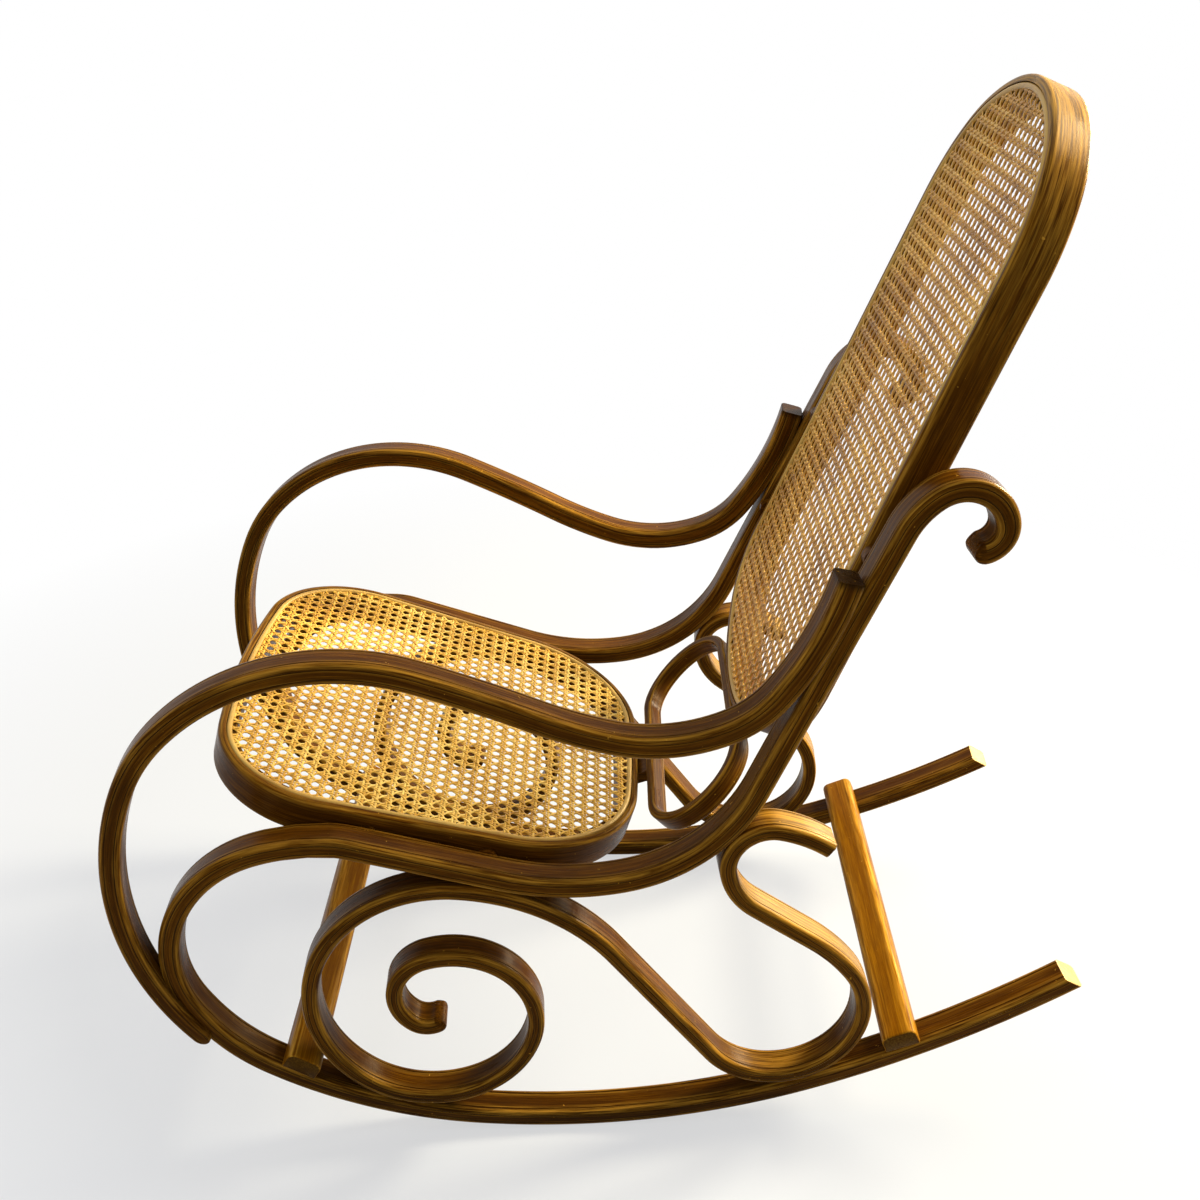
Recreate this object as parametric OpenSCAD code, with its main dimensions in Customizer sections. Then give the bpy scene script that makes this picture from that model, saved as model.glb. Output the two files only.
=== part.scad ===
// Bentwood rocking chair with a caned seat and a caned back.
// +X points to the rear, -Y is the sitter's left, +Z is up. The rockers stand on z = 0.
// Every bent rod is flat: it is drawn as a bend schedule in its own plane, then that plane is
// splayed and leaned into place. A bend is [radius, turn] and a straight run is [length, 0].

/* [Side frames] */
// Half distance between the side frames, on the floor under the seat
base_half_width = 251; // [235:265]
// Angle at which the side frames close towards the rear
side_splay = 3.2; // [2:0.1:4]
// Angle at which the side frames lean in towards the top
side_lean = 1.6; // [1:0.1:2]
// Thickness of the rocker and upright rods, across their bends
rod_thickness = 22; // [20:26]
// Width of the rocker and upright rods
rod_width = 36; // [32:40]
// Radius on the long edges of every rod
rod_round = 5; // [2:6]
// Length over which the rocker rod and the seat rail are scarfed together
scarf_length = 50; // [40:60]

/* [Arms] */
// Half distance between the arms, on the floor under the seat
arm_half_width = 240; // [232:250]
// Angle at which the arms close towards the rear
arm_splay = 4.8; // [4:0.1:5.5]
// Angle at which the arms lean out towards the top
arm_lean = 0.5; // [0:0.1:1]
// Thickness of the arm rods
arm_thickness = 24; // [20:26]
// Width of the arm rods
arm_width = 33; // [28:36]

/* [Scrolls] */
// Thickness of the scroll rods
scroll_thickness = 18; // [16:21]
// Width of the scroll rods
scroll_width = 38; // [32:40]

/* [Seat and back] */
// Width of the bent rings, from the outside edge to the inside edge
ring_width = 20; // [19:26]
// Depth of the bent rings
ring_depth = 40; // [32:46]
// Plain outer edge of a ring, outside the groove
ring_edge = 8; // [7:10]
// Width of the groove that holds the cane
groove_width = 7; // [5:9]
// Depth of the groove
groove_depth = 6; // [4:8]
// Thickness of the woven cane
cane_thickness = 2.4; // [1.6:0.2:3]
// Distance of the woven cane's face below the ring's face
cane_drop = 0.6; // [0.4:0.2:2]
// Angle at which the seat falls to the rear
seat_fall = 16.6; // [12:0.2:20]
// Angle at which the back reclines
back_recline = 21.2; // [15:0.2:26]

/* [Lower back loop] */
// Angle at which the loop leans to the rear
loop_recline = 45; // [40:50]
// Thickness of the loop's band
loop_thickness = 11; // [9:13]
// Width of the loop's band
loop_width = 22; // [18:26]
// Radius of the loop's round ends, measured outside
loop_end_radius = 67; // [60:72]
// Overall width of the loop
loop_length = 336; // [300:350]
// Length of the wedge between the loop and the seat ring
wedge_length = 60; // [40:80]

/* [Stretchers] */
// Width of the front and rear stretchers
stretcher_width = 40; // [34:44]
// Height of the front and rear stretchers
stretcher_height = 22; // [18:26]
// Radius on the stretchers' upper edges
stretcher_round = 9; // [5:10]

/* [Joints] */
// Clearance left where one rod is housed on another
housing_gap = 0.1; // [0:0.1:0.3]
// Radius of the wooden spacers beside the seat and the back
spacer_radius = 11; // [9:12]
// Clearance round the groove strips and the cane
cane_gap = 0.25; // [0.1:0.05:0.4]

/* [Hidden] */
$fn = 64;

// Collars that join the bends of a rod: the slit they close, their length and their rise
joint_slit = 0.02;
collar_length = 0.4;
collar_rise = 0.02;
$rise = 0;

// Distance from the seat datum to the middle of the chair's length
length_middle = 8.2;

// Side frame rod, from the rear end of the rocker to the scroll at the top of the upright.
// A start is [distance to the rear, height, heading].
frame_start = [514.5, 195, -146.5];
rocker_bends = [[1220, -14.5], [830, -27], [510, -27], [215, -25], [9, 0], [140, -102.5]];
scarf_bends = [[210, -14.5], [210, -7.5]];
rail_bends = [[87, -12], [157, 0], [270, 27], [179, 56.5], [294, 0], [79, -30.5], [42, -113], [23, -87]];
frame_bends = concat(rocker_bends, scarf_bends, rail_bends);
scarf_from = len(rocker_bends);
rail_from = len(rocker_bends) + len(scarf_bends);
frame_count = len(frame_bends);

// Arm rod, from its butt on the upright to its tip under the front of the rocker loop
arm_start = [219, 677.5, -103.5];
arm_bends = [[335, -23], [108, -31.5], [174, -38.5], [480, -9], [1690, 4], [230, 67], [190, 19], [325, 59.5]];
arm_count = len(arm_bends);

// Scroll rod, from the eye of the spiral to its free end behind the upright
scroll_start = [-184, 160, -153.5];
scroll_bends = [[24, -65.5], [49, -124.5], [90, -122.5], [114, -48.5], [116, -67.5], [147, -144], [235, -47],
    [179, 0], [92, 179.5], [205, 18], [79, 0], [74, -44], [43, -114], [145, -22.5]];
scroll_count = len(scroll_bends);

// Corner radius that brings a ring out to the side frames; reach is what its other bends give
function corner_radius(from, to, reach) = (base_half_width - reach) / (sin(to) - sin(from));

// Straight run that a corner leaves of a ring's side
function side_run(from, to, radius, side) = side - radius * (cos(from) - cos(to));

// Outline of one half of each ring, from the middle of its rear or top edge.
// The last bend closes the outline on the middle line.
seat_start = [0, 232, 0];
seat_corner = corner_radius(3, 85.5, 105.5);
seat_side = 336.7;
seat_bends = [[1450, -3], [seat_corner, -82.5], [side_run(3, 85.5, seat_corner, seat_side), 0], [119, -88]];
seat_datum = [-185.2, 397];
back_start = [0, 0, 0];
back_corner = corner_radius(32, 87, 185.4);
back_side = 526.3;
back_bends = [[205, -32], [back_corner, -55], [side_run(32, 87, back_corner, back_side), 0], [96, -63]];
back_datum = [383, 1066.4];

// Top of the loop, where it is housed on the bottom of the back ring, and its lowest edge
loop_seat = [138.8, 428.8];
loop_low = loop_seat - 2 * loop_end_radius * [sin(loop_recline), cos(loop_recline)];

// Insets of the wedge from the ring's face and from the loop's edges
wedge_drop = 6;
wedge_inset = 3;

// Rod bends that carry the spacers, and where along them the spacers stand
seat_run = rail_from + 1;
seat_spacer_parts = [0.1, 0.9];
upright_run = rail_from + 4;
back_spacer_parts = [0.42, 0.86];

// Rocker bends that carry the stretchers, where along them they stand, and how deep they are let in
front_stretcher_bend = scarf_from - 4;
front_stretcher_part = 0.88;
rear_stretcher_bend = 0;
rear_stretcher_part = 0.66;
stretcher_lap = 1;

rod_end = [rod_thickness, rod_width];
arm_end = [arm_thickness, arm_width];
scroll_end = [scroll_thickness, scroll_width];

// ---- Bend schedules ----

// Pose [along, up, heading] at a part of one bend; left turns are positive
function part_pose(p, b, part) =
    b[1] == 0
    ? [p[0] + part * b[0] * cos(p[2]), p[1] + part * b[0] * sin(p[2]), p[2]]
    : let (side = sign(b[1]), q = p[2] + part * b[1])
        [p[0] + side * b[0] * (sin(q) - sin(p[2])), p[1] - side * b[0] * (cos(q) - cos(p[2])), q];

// Pose after the first n bends
function pose_after(p, bends, n) =
    n == 0 ? p : part_pose(pose_after(p, bends, n - 1), bends[n - 1], 1);

// Half outline of a ring with the bend that brings it back to the middle line
function closed(p, bends) =
    let (q = pose_after(p, bends, len(bends)))
        concat(bends, [[-q[0] / sin(q[2]), -180 - q[2]]]);

// Points along a half outline, moved in by an inset
function outline(p, bends, inset) =
    [for (i = [0:len(bends) - 1])
        let (q = pose_after(p, bends, i), steps = bends[i][1] == 0 ? 1 : ceil(abs(bends[i][1]) / 4))
            for (k = [0:steps - 1])
                let (r = part_pose(q, bends[i], k / steps))
                    [r[0] + inset * sin(r[2]), r[1] - inset * cos(r[2])]];

// ---- Sections: first direction to the left of the rod, second across its plane ----

// $rise is how far the section stands proud all round
module rounded_section(size, round) {
    inner = [size[0] / 2 - round, size[1] / 2 - round];
    full = round + $rise;
    square([2 * inner[0], 2 * (inner[1] + full)], center = true);
    square([2 * (inner[0] + full), 2 * inner[1]], center = true);
    for (x = [-1, 1], y = [-1, 1]) {
        translate([x * inner[0], y * inner[1]])
            circle(r = full, $fn = 24);
    }
}

module plain_section(size) {
    square([size[0] + 2 * $rise, size[1] + 2 * $rise], center = true);
}

module ring_section() {
    full = rod_round + $rise;
    groove = ring_edge + groove_width;
    difference() {
        union() {
            translate([-ring_width - $rise, rod_round])
                square([ring_width + 2 * $rise, ring_depth - 2 * rod_round]);
            translate([-ring_width - $rise, -$rise])
                square([ring_width + $rise - rod_round, ring_depth + 2 * $rise]);
            for (y = [rod_round, ring_depth - rod_round]) {
                translate([-rod_round, y])
                    circle(r = full, $fn = 24);
            }
        }
        translate([-groove + $rise, -1])
            square([groove_width - 2 * $rise, groove_depth - $rise + 1]);
        translate([-ring_width - 1, -1])
            square([ring_width - groove + $rise + 1, cane_drop + cane_thickness - $rise + 1]);
    }
}

module strip_section() {
    half = groove_width / 2 - cane_gap;
    full = half + $rise;
    middle = -ring_edge - groove_width / 2;
    translate([middle - full, half])
        square([2 * full, groove_depth - cane_gap + $rise - half]);
    intersection() {
        translate([middle, half])
            circle(r = full, $fn = 32);
        translate([middle - full, half - full])
            square([2 * full, full]);
    }
}

// ---- Bent rods: children() is the section ----

module at_pose(p) {
    translate([p[0], 0, p[1]])
        rotate([0, -p[2], 0])
            children();
}

module bend(p, b) {
    slit_turn = joint_slit / b[0] * 180 / PI;
    at_pose(p) {
        if (b[1] == 0) {
            rotate([180, 0, 0])
                rotate([0, 90, 0])
                    linear_extrude(b[0] - joint_slit)
                        children();
        } else if (b[1] < 0) {
            translate([0, 0, -b[0]])
                rotate([90, 0, 0])
                    rotate_extrude(angle = -b[1] - slit_turn, start = 90 + b[1] + slit_turn, $fn = 180)
                        translate([b[0], 0])
                            children();
        } else {
            translate([0, 0, b[0]])
                rotate([90, 0, 0])
                    rotate_extrude(angle = b[1] - slit_turn, start = -90, $fn = 180)
                        translate([b[0], 0])
                            mirror([1, 0])
                                children();
        }
    }
}

module collar(p) {
    $rise = collar_rise;
    at_pose(p)
        rotate([180, 0, 0])
            rotate([0, 90, 0])
                linear_extrude(collar_length, center = true)
                    children();
}

module rod(p, bends, from, to) {
    for (i = [from:to - 1]) {
        bend(pose_after(p, bends, i), bends[i])
            children();
        if (i > from) {
            collar(pose_after(p, bends, i))
                children();
        }
    }
}

// Rounded end of a rod, turned about an axis across its plane
module round_end(p, turn, size) {
    collar(p)
        rounded_section(size, rod_round);
    at_pose(p)
        rotate([90, 0, 0])
            rotate_extrude(angle = 180, start = turn, $fn = 64)
                intersection() {
                    rounded_section(size, rod_round);
                    translate([0, -size[1]])
                        square([size[0], 2 * size[1]]);
                }
}

// ---- Places ----

module chair() {
    translate([-length_middle, 0, -floor_height])
        children();
}

module side_plane() {
    translate([0, -base_half_width, 0])
        rotate([-side_lean, 0, 0])
            rotate([0, 0, side_splay])
                children();
}

module arm_plane() {
    translate([0, -arm_half_width, 0])
        rotate([arm_lean, 0, 0])
            rotate([0, 0, arm_splay])
                children();
}

module ring_plane(datum, tilt) {
    translate([datum[0], 0, datum[1]])
        rotate([0, tilt, 0])
            rotate([0, 0, 90])
                children();
}

module right_side() {
    mirror([0, 1, 0])
        children();
}

// Height of the rocker's lowest edge above the height datum
rocker_low = let (q = pose_after(frame_start, frame_bends, 1), b = frame_bends[1])
    q[1] - b[0] * cos(q[2]) - b[0] - rod_thickness / 2 + rod_round;
floor_height = rocker_low * cos(side_lean) - rod_round
    - (rod_width / 2 - rod_round) * cos(side_splay) * sin(side_lean);

// ---- Side frames ----

// Slanted cutting block at the scarf; up is 1 for the half above the cut and -1 for the half below
module scarf_block(up) {
    slant = atan2(rod_thickness, scarf_length);
    at_pose(pose_after(frame_start, frame_bends, scarf_from + 1))
        rotate([0, slant, 0])
            translate([0, 0, up * rod_thickness * 2])
                cube([scarf_length * 4, rod_width * 2, rod_thickness * 4], center = true);
}

module scarfed(up) {
    intersection() {
        union() {
            rod(frame_start, frame_bends, scarf_from, rail_from)
                rounded_section(rod_end, rod_round);
        }
        scarf_block(up);
    }
}

module rocker() {
    side_plane() {
        rod(frame_start, frame_bends, 0, scarf_from)
            rounded_section(rod_end, rod_round);
        collar(pose_after(frame_start, frame_bends, scarf_from))
            rounded_section(rod_end, rod_round);
        scarfed(-1);
    }
}

module seat_rail() {
    side_plane() {
        scarfed(1);
        collar(pose_after(frame_start, frame_bends, rail_from))
            rounded_section(rod_end, rod_round);
        rod(frame_start, frame_bends, rail_from, frame_count)
            rounded_section(rod_end, rod_round);
        round_end(pose_after(frame_start, frame_bends, frame_count), -90, rod_end);
    }
}

// Housing cut by the side frame rod, from one bend to another
module frame_housing(from, to) {
    side_plane()
        rod(frame_start, frame_bends, from, to)
            plain_section(rod_end + 2 * [housing_gap, housing_gap]);
}

// ---- Arms ----

module arm() {
    difference() {
        arm_plane() {
            rod(arm_start, arm_bends, 0, arm_count)
                rounded_section(arm_end, rod_round);
            round_end(pose_after(arm_start, arm_bends, arm_count), -90, arm_end);
        }
        frame_housing(frame_count - 4, frame_count - 3);
        frame_housing(2, 6);
    }
}

// ---- Scrolls ----

module scroll() {
    difference() {
        side_plane() {
            rod(scroll_start, scroll_bends, 0, scroll_count)
                rounded_section(scroll_end, rod_round);
            round_end(scroll_start, 90, scroll_end);
        }
        for (i = [1, 2, rail_from + 1, rail_from + 3]) {
            scroll_housing(i);
        }
    }
}

// Seat cut by one bend of the side frame rod, run on a little past both ends
module scroll_housing(i) {
    b = frame_bends[i];
    overrun = 0.1;
    p = part_pose(pose_after(frame_start, frame_bends, i), b, -overrun);
    side_plane()
        bend(p, b[1] == 0 ? [(1 + 2 * overrun) * b[0], 0] : [b[0], (1 + 2 * overrun) * b[1]])
            plain_section([rod_thickness + 2 * housing_gap, 2 * scroll_width]);
}

// ---- Seat and back ----

module ring(p, bends) {
    half = closed(p, bends);
    for (side = [0, 1]) {
        mirror([side, 0, 0])
            rod(p, half, 0, len(half))
                children();
    }
    for (end = [0, len(half)]) {
        collar(pose_after(p, half, end))
            children();
    }
}

module cane_sheet(p, bends) {
    half = outline(p, closed(p, bends), ring_edge + groove_width + cane_gap);
    last = len(half) - 1;
    whole = concat(half, [for (i = [last:-1:1]) [-half[i][0], half[i][1]]]);
    rotate([90, 0, 0])
        translate([0, 0, cane_drop])
            linear_extrude(cane_thickness)
                polygon(whole);
}

module seat_place() {
    ring_plane(seat_datum, 90 + seat_fall)
        children();
}

module back_place() {
    ring_plane(back_datum, back_recline)
        children();
}

module seat_ring() {
    seat_place()
        ring(seat_start, seat_bends)
            ring_section();
}

module seat_strip() {
    seat_place()
        ring(seat_start, seat_bends)
            strip_section();
}

module seat_cane() {
    seat_place()
        cane_sheet(seat_start, seat_bends);
}

module back_ring() {
    back_place()
        ring(back_start, back_bends)
            ring_section();
}

module back_strip() {
    back_place()
        ring(back_start, back_bends)
            strip_section();
}

module back_cane() {
    back_place()
        cane_sheet(back_start, back_bends);
}

// Spacer between the side frame rod, at a part of one of its bends, and the straight side of a ring
module spacer(index, part) {
    p = part_pose(pose_after(frame_start, frame_bends, index), frame_bends[index], part);
    side_plane()
        translate([p[0], rod_width / 2, p[1]])
            rotate([-90, 0, 0])
                cylinder(r = spacer_radius, h = base_half_width / 2);
}

// Everything inside the straight side of a ring
module inside_of(p, bends) {
    at_pose(pose_after(p, bends, 2))
        translate([bends[2][0] / 2, 0, -base_half_width])
            cube([2 * bends[2][0], 2 * base_half_width, 2 * base_half_width], center = true);
}

module seat_spacers() {
    for (side = [0, 1], part = seat_spacer_parts) {
        mirror([0, side, 0]) {
            difference() {
                spacer(seat_run, part);
                right_side()
                    seat_place()
                        inside_of(seat_start, seat_bends);
            }
        }
    }
}

module back_spacers() {
    for (side = [0, 1], part = back_spacer_parts) {
        mirror([0, side, 0]) {
            difference() {
                spacer(upright_run, part);
                right_side()
                    back_place()
                        inside_of(back_start, back_bends);
            }
        }
    }
}

// ---- Lower back loop ----

module back_loop() {
    difference() {
        loop_band();
        back_place()
            for (side = [0, 1]) {
                mirror([side, 0, 0])
                    back_bottom();
            }
    }
}

// Bottom of the back ring as a plain bar
module back_bottom() {
    half = closed(back_start, back_bends);
    last = len(half) - 1;
    bend(part_pose(pose_after(back_start, half, last), half[last], 0.3), [half[last][0], half[last][1]])
        translate([-ring_width, 0])
            square([ring_width + housing_gap, ring_depth]);
}

// Wedge that fills the angle between the loop and the rear of the seat ring
module loop_wedge() {
    ring_rear = [seat_datum[0] + seat_start[1] * cos(seat_fall), seat_datum[1] - seat_start[1] * sin(seat_fall)];
    down = [-sin(seat_fall), -cos(seat_fall)];
    across = [sin(loop_recline + 90), cos(loop_recline + 90)];
    rotate([90, 0, 0])
        linear_extrude(wedge_length, center = true)
            polygon([ring_rear + wedge_drop * down, ring_rear + ring_depth / 2 * down,
                loop_low + (loop_width - wedge_inset) * across, loop_low + wedge_inset * across]);
}

module loop_band() {
    straight = loop_length / 2 - loop_end_radius;
    loop_bends = [[straight, 0], [loop_end_radius, -180], [straight, 0]];
    ring_plane(loop_seat, loop_recline)
        for (side = [0, 1]) {
            mirror([side, 0, 0])
                rod([0, 0, 0], loop_bends, 0, len(loop_bends))
                    loop_section();
            collar([0, -side * 2 * loop_end_radius, 180 * side])
                loop_section();
        }
}

module loop_section() {
    translate([-loop_thickness / 2, loop_width / 2])
        rounded_section([loop_thickness, loop_width], loop_thickness / 4);
}

// ---- Stretchers ----

// Stretcher on the rockers' upper faces, at a part of one of the rocker's bends
module stretcher(index, part) {
    p = part_pose(pose_after(frame_start, frame_bends, index), frame_bends[index], part);
    rise = (rod_thickness + stretcher_height) / 2 - stretcher_lap;
    x = (p[0] + rise * sin(p[2])) * cos(side_splay);
    z = (p[1] - rise * cos(p[2])) * cos(side_lean);
    difference() {
        translate([x, 0, z])
            rotate([0, 180 - p[2], 0])
                rotate([90, 0, 0])
                    linear_extrude(4 * base_half_width, center = true)
                        stretcher_section();
        for (side = [0, 1]) {
            mirror([0, side, 0]) {
                side_plane()
                    rod(frame_start, frame_bends, max(index - 1, 0), index + 2)
                        plain_section([rod_thickness, 2 * rod_width]);
                side_plane()
                    translate([p[0], -rod_width / 2 - base_half_width, p[1]])
                        cube(2 * base_half_width, center = true);
            }
        }
    }
}

module stretcher_section() {
    flat = stretcher_width / 2 - stretcher_round;
    translate([-stretcher_width / 2, -stretcher_height / 2])
        square([stretcher_width, stretcher_height - stretcher_round]);
    translate([-flat, -stretcher_height / 2])
        square([2 * flat, stretcher_height]);
    for (side = [-1, 1]) {
        translate([side * flat, stretcher_height / 2 - stretcher_round])
            circle(r = stretcher_round, $fn = 32);
    }
}

wood = "SaddleBrown";

color(wood) chair() rocker();  // rocker_left
color(wood) chair() right_side() rocker();  // rocker_right
color(wood) chair() seat_rail();  // seat_rail_left
color(wood) chair() right_side() seat_rail();  // seat_rail_right
color(wood) chair() arm();  // arm_left
color(wood) chair() right_side() arm();  // arm_right
color(wood) chair() scroll();  // scroll_left
color(wood) chair() right_side() scroll();  // scroll_right
color(wood) chair() seat_ring();
color("BurlyWood") chair() seat_cane();
color("Tan") chair() seat_strip();
color(wood) chair() back_ring();
color("BurlyWood") chair() back_cane();
color("Tan") chair() back_strip();
color(wood) chair() back_loop();
color("Peru") chair() stretcher(front_stretcher_bend, front_stretcher_part);  // front_stretcher
color("Peru") chair() stretcher(rear_stretcher_bend, rear_stretcher_part);  // rear_stretcher
color(wood) chair() seat_spacers();
color(wood) chair() back_spacers();
color(wood) chair() loop_wedge();
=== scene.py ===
"""Bentwood rocking chair with a woven cane seat and back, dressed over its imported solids.

Every bent rod is a section carried along a bend schedule. The surfaces are worked out as whole
numpy arrays on a grid of (row along the piece, column round its section) and put into meshes.
Lengths in the classes are millimetres in the chair's own planes; meshes are in metres.
"""

import logging
import math
from dataclasses import dataclass, replace
from enum import Enum

import bpy
import numpy as np
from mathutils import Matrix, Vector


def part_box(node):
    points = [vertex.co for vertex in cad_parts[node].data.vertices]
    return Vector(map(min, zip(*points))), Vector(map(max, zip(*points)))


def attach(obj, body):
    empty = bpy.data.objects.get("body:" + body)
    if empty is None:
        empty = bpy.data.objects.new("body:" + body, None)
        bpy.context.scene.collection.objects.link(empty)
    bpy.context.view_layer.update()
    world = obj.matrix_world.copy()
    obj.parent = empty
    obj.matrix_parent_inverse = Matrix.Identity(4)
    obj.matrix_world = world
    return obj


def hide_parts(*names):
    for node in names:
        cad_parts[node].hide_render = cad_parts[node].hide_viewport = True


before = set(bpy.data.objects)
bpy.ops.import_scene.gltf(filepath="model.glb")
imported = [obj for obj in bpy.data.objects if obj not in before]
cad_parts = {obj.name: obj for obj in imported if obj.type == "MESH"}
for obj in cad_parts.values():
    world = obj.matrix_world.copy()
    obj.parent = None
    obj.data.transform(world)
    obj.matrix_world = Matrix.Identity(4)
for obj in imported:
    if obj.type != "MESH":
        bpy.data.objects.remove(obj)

logging.basicConfig(level=logging.INFO, format="%(message)s")
LOG = logging.getLogger("rocking_chair")

Array = np.ndarray
Triple = tuple[float, float, float]
Span = tuple[float, float]
Bends = tuple[Span, ...]
Object = bpy.types.Object
Mesh = bpy.types.Mesh
Material = bpy.types.Material
World = bpy.types.World
Node = bpy.types.Node
Socket = bpy.types.NodeSocket

MM = 0.001
TINY = 1e-12
BODY = "root"
LENGTH_MIDDLE = 8.2


class Slot(Enum):
    """Material slots of the record that the pieces take their finish from."""

    BENTWOOD = "bentwood"
    STRETCHER = "stretcher"
    CANE = "cane"
    STRIP = "cane_strip"


class Side(Enum):
    """Sides of the chair, with the sign that Y takes there for a left-hand piece."""

    LEFT = 1
    RIGHT = -1


class EndForm(Enum):
    """How the end of a swept piece is closed."""

    CUT = "cut"
    ROUND = "round"


# ---- Centre lines and planes ----


@dataclass(frozen=True)
class Spacing:
    """How close the rows of a surface lie: no farther apart than a step or a turn in degrees."""

    step: float = 8.0
    turn: float = 4.0


@dataclass(frozen=True)
class BendSchedule:
    """Flat centre line of a bent piece: arcs of (radius, turn) and straight runs of (length, 0).

    Attributes:
        start: distance to the rear, height and heading in degrees at the first end.
        bends: the arcs and runs in order; left turns are positive.
    """

    start: Triple
    bends: Bends

    def lengths(self) -> Array:
        """Length of each bend."""
        b = np.array(self.bends, float)
        return np.where(b[:, 1] == 0, b[:, 0], b[:, 0] * np.radians(np.abs(b[:, 1])))

    def curvatures(self) -> Array:
        """Signed curvature of each bend, 0 for a straight run."""
        b = np.array(self.bends, float)
        return np.sign(b[:, 1]) / b[:, 0]

    def ends(self) -> Array:
        """Distance from the start to where each bend begins, and to the line's end."""
        return np.concatenate(([0.0], np.cumsum(self.lengths())))

    def poses(self) -> Array:
        """Place and heading where each bend begins, and at the line's end.

        Returns:
            Rows of (along, up, heading in radians).
        """
        out = [np.array([self.start[0], self.start[1], math.radians(self.start[2])])]
        for length, bent in zip(self.lengths(), self.curvatures()):
            out.append(np.array(step_along(out[-1], length, bent)))
        return np.array(out)

    def at(self, s: Array) -> tuple[Array, Array, Array]:
        """Place and heading at distances along the line; past its ends the last bend runs on.

        Args:
            s: distances from the start, of any shape.

        Returns:
            Along, up and heading in radians, each shaped like s.
        """
        ends = self.ends()
        i = np.clip(np.searchsorted(ends, s, side="right") - 1, 0, len(self.bends) - 1)
        start = np.moveaxis(self.poses()[i], -1, 0)
        return step_along(start, s - ends[i], self.curvatures()[i])

    def samples(self, spacing: Spacing) -> Array:
        """Distances along the line for the rows of a surface.

        Args:
            spacing: how close the rows lie.

        Returns:
            Distances from 0 to the line's length.
        """
        ends, turns = self.ends(), np.abs(np.array(self.bends, float)[:, 1])
        counts = np.maximum(self.lengths() / spacing.step, turns / spacing.turn)
        counts = np.ceil(counts).astype(int)
        parts = [np.linspace(a, z, n, endpoint=False) for a, z, n in zip(ends, ends[1:], counts)]
        return np.concatenate(parts + [ends[-1:]])


def step_along(start: Array, distance: Array, bent: Array) -> tuple[Array, Array, Array]:
    """Moves along an arc or a straight run: the chord of an arc is (sin q2 - sin q) / curvature.

    Args:
        start: along, up and heading, stacked on the first axis.
        distance: how far to go.
        bent: signed curvature, 0 where straight.

    Returns:
        Along, up and heading after that distance.
    """
    straight = bent == 0
    safe = np.where(straight, 1.0, bent)
    q = start[2] + distance * bent
    along = np.where(straight, distance * np.cos(start[2]), (np.sin(q) - np.sin(start[2])) / safe)
    up = np.where(straight, distance * np.sin(start[2]), (np.cos(start[2]) - np.cos(q)) / safe)
    return start[0] + along, start[1] + up, q


@dataclass(frozen=True)
class Plane:
    """Place of a flat piece in the chair.

    Attributes:
        origin: a point of the plane, in millimetres from the chair's datum.
        axes: columns are the directions of the plane's along, across and up.
    """

    origin: Triple
    axes: Array

    def place(self, along: Array, across: Array, up: Array) -> Array:
        """Points in metres in the chair's frame, stacked on a last axis of three."""
        flat = np.stack(np.broadcast_arrays(along, across, up), axis=-1)
        return (flat @ self.axes.T + np.array(self.origin)) * MM


def turned(axis: str, degrees: float) -> Array:
    """Rotation matrix about an axis of the chair.

    Args:
        axis: x, y or z.
        degrees: angle of the turn.

    Returns:
        The matrix, three by three.
    """
    c, s = math.cos(math.radians(degrees)), math.sin(math.radians(degrees))
    rows = {
        "x": ((1, 0, 0), (0, c, -s), (0, s, c)),
        "y": ((c, 0, s), (0, 1, 0), (-s, 0, c)),
        "z": ((c, -s, 0), (s, c, 0), (0, 0, 1)),
    }
    return np.array(rows[axis], float)


def left_of(direction: Array) -> Array:
    """Flat direction a quarter turn to the left of another."""
    return np.array([-direction[1], direction[0]])


# ---- Sections ----

LEAST_EDGE_WEAR = 0.3
MOST_EDGE_WEAR = 1.0
QUIRK_SPOTS = np.array([-0.5, -0.12, 0.12, 0.5])
QUIRK_BOTTOM = np.array([0.0, 1.0, 1.0, 0.0])
QUIRK_WEAR = 0.5


@dataclass(frozen=True)
class Section:
    """Closed outline of a section, walked anticlockwise.

    Attributes:
        out: distance to the left of the line, per point.
        across: distance across the line's plane, per point.
        wear: 1 where the edge is rubbed, 0 on the faces.
        groove: 1 at the bottom of a fine groove.
    """

    out: Array
    across: Array
    wear: Array
    groove: Array


def as_section(*parts: Array) -> Section:
    """A section from parts of its outline, each with rows of (out, across, wear, groove)."""
    return Section(*np.concatenate(parts).T)


def corner_arc(centre: Span, radius: float, first: float, count: int) -> Array:
    """Quarter circle, most worn at its middle.

    Args:
        centre: out and across of the circle's centre.
        radius: radius of the circle.
        first: angle of its first point in degrees.
        count: number of points.

    Returns:
        Rows of (out, across, wear, groove).
    """
    a = np.radians(np.linspace(first, first + 90, count))
    wear = LEAST_EDGE_WEAR + (MOST_EDGE_WEAR - LEAST_EDGE_WEAR) * np.sin(2 * (a - a[0]))
    return np.column_stack((
        centre[0] + radius * np.cos(a), centre[1] + radius * np.sin(a), wear, np.zeros(count)))


def box_corners(half: Span, radii: tuple[float, ...], counts: tuple[int, ...]) -> list[Array]:
    """Rounded corners of a box, anticlockwise from the one that is out and across.

    Args:
        half: half its size outwards and across.
        radii: radius of each corner.
        counts: number of points of each corner.

    Returns:
        Four arrays of rows of (out, across, wear, groove).
    """
    signs = ((1, 1), (-1, 1), (-1, -1), (1, -1))
    return [
        corner_arc((out * (half[0] - radius), across * (half[1] - radius)), radius, 90 * k, count)
        for k, ((out, across), radius, count) in enumerate(zip(signs, radii, counts))
    ]


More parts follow.
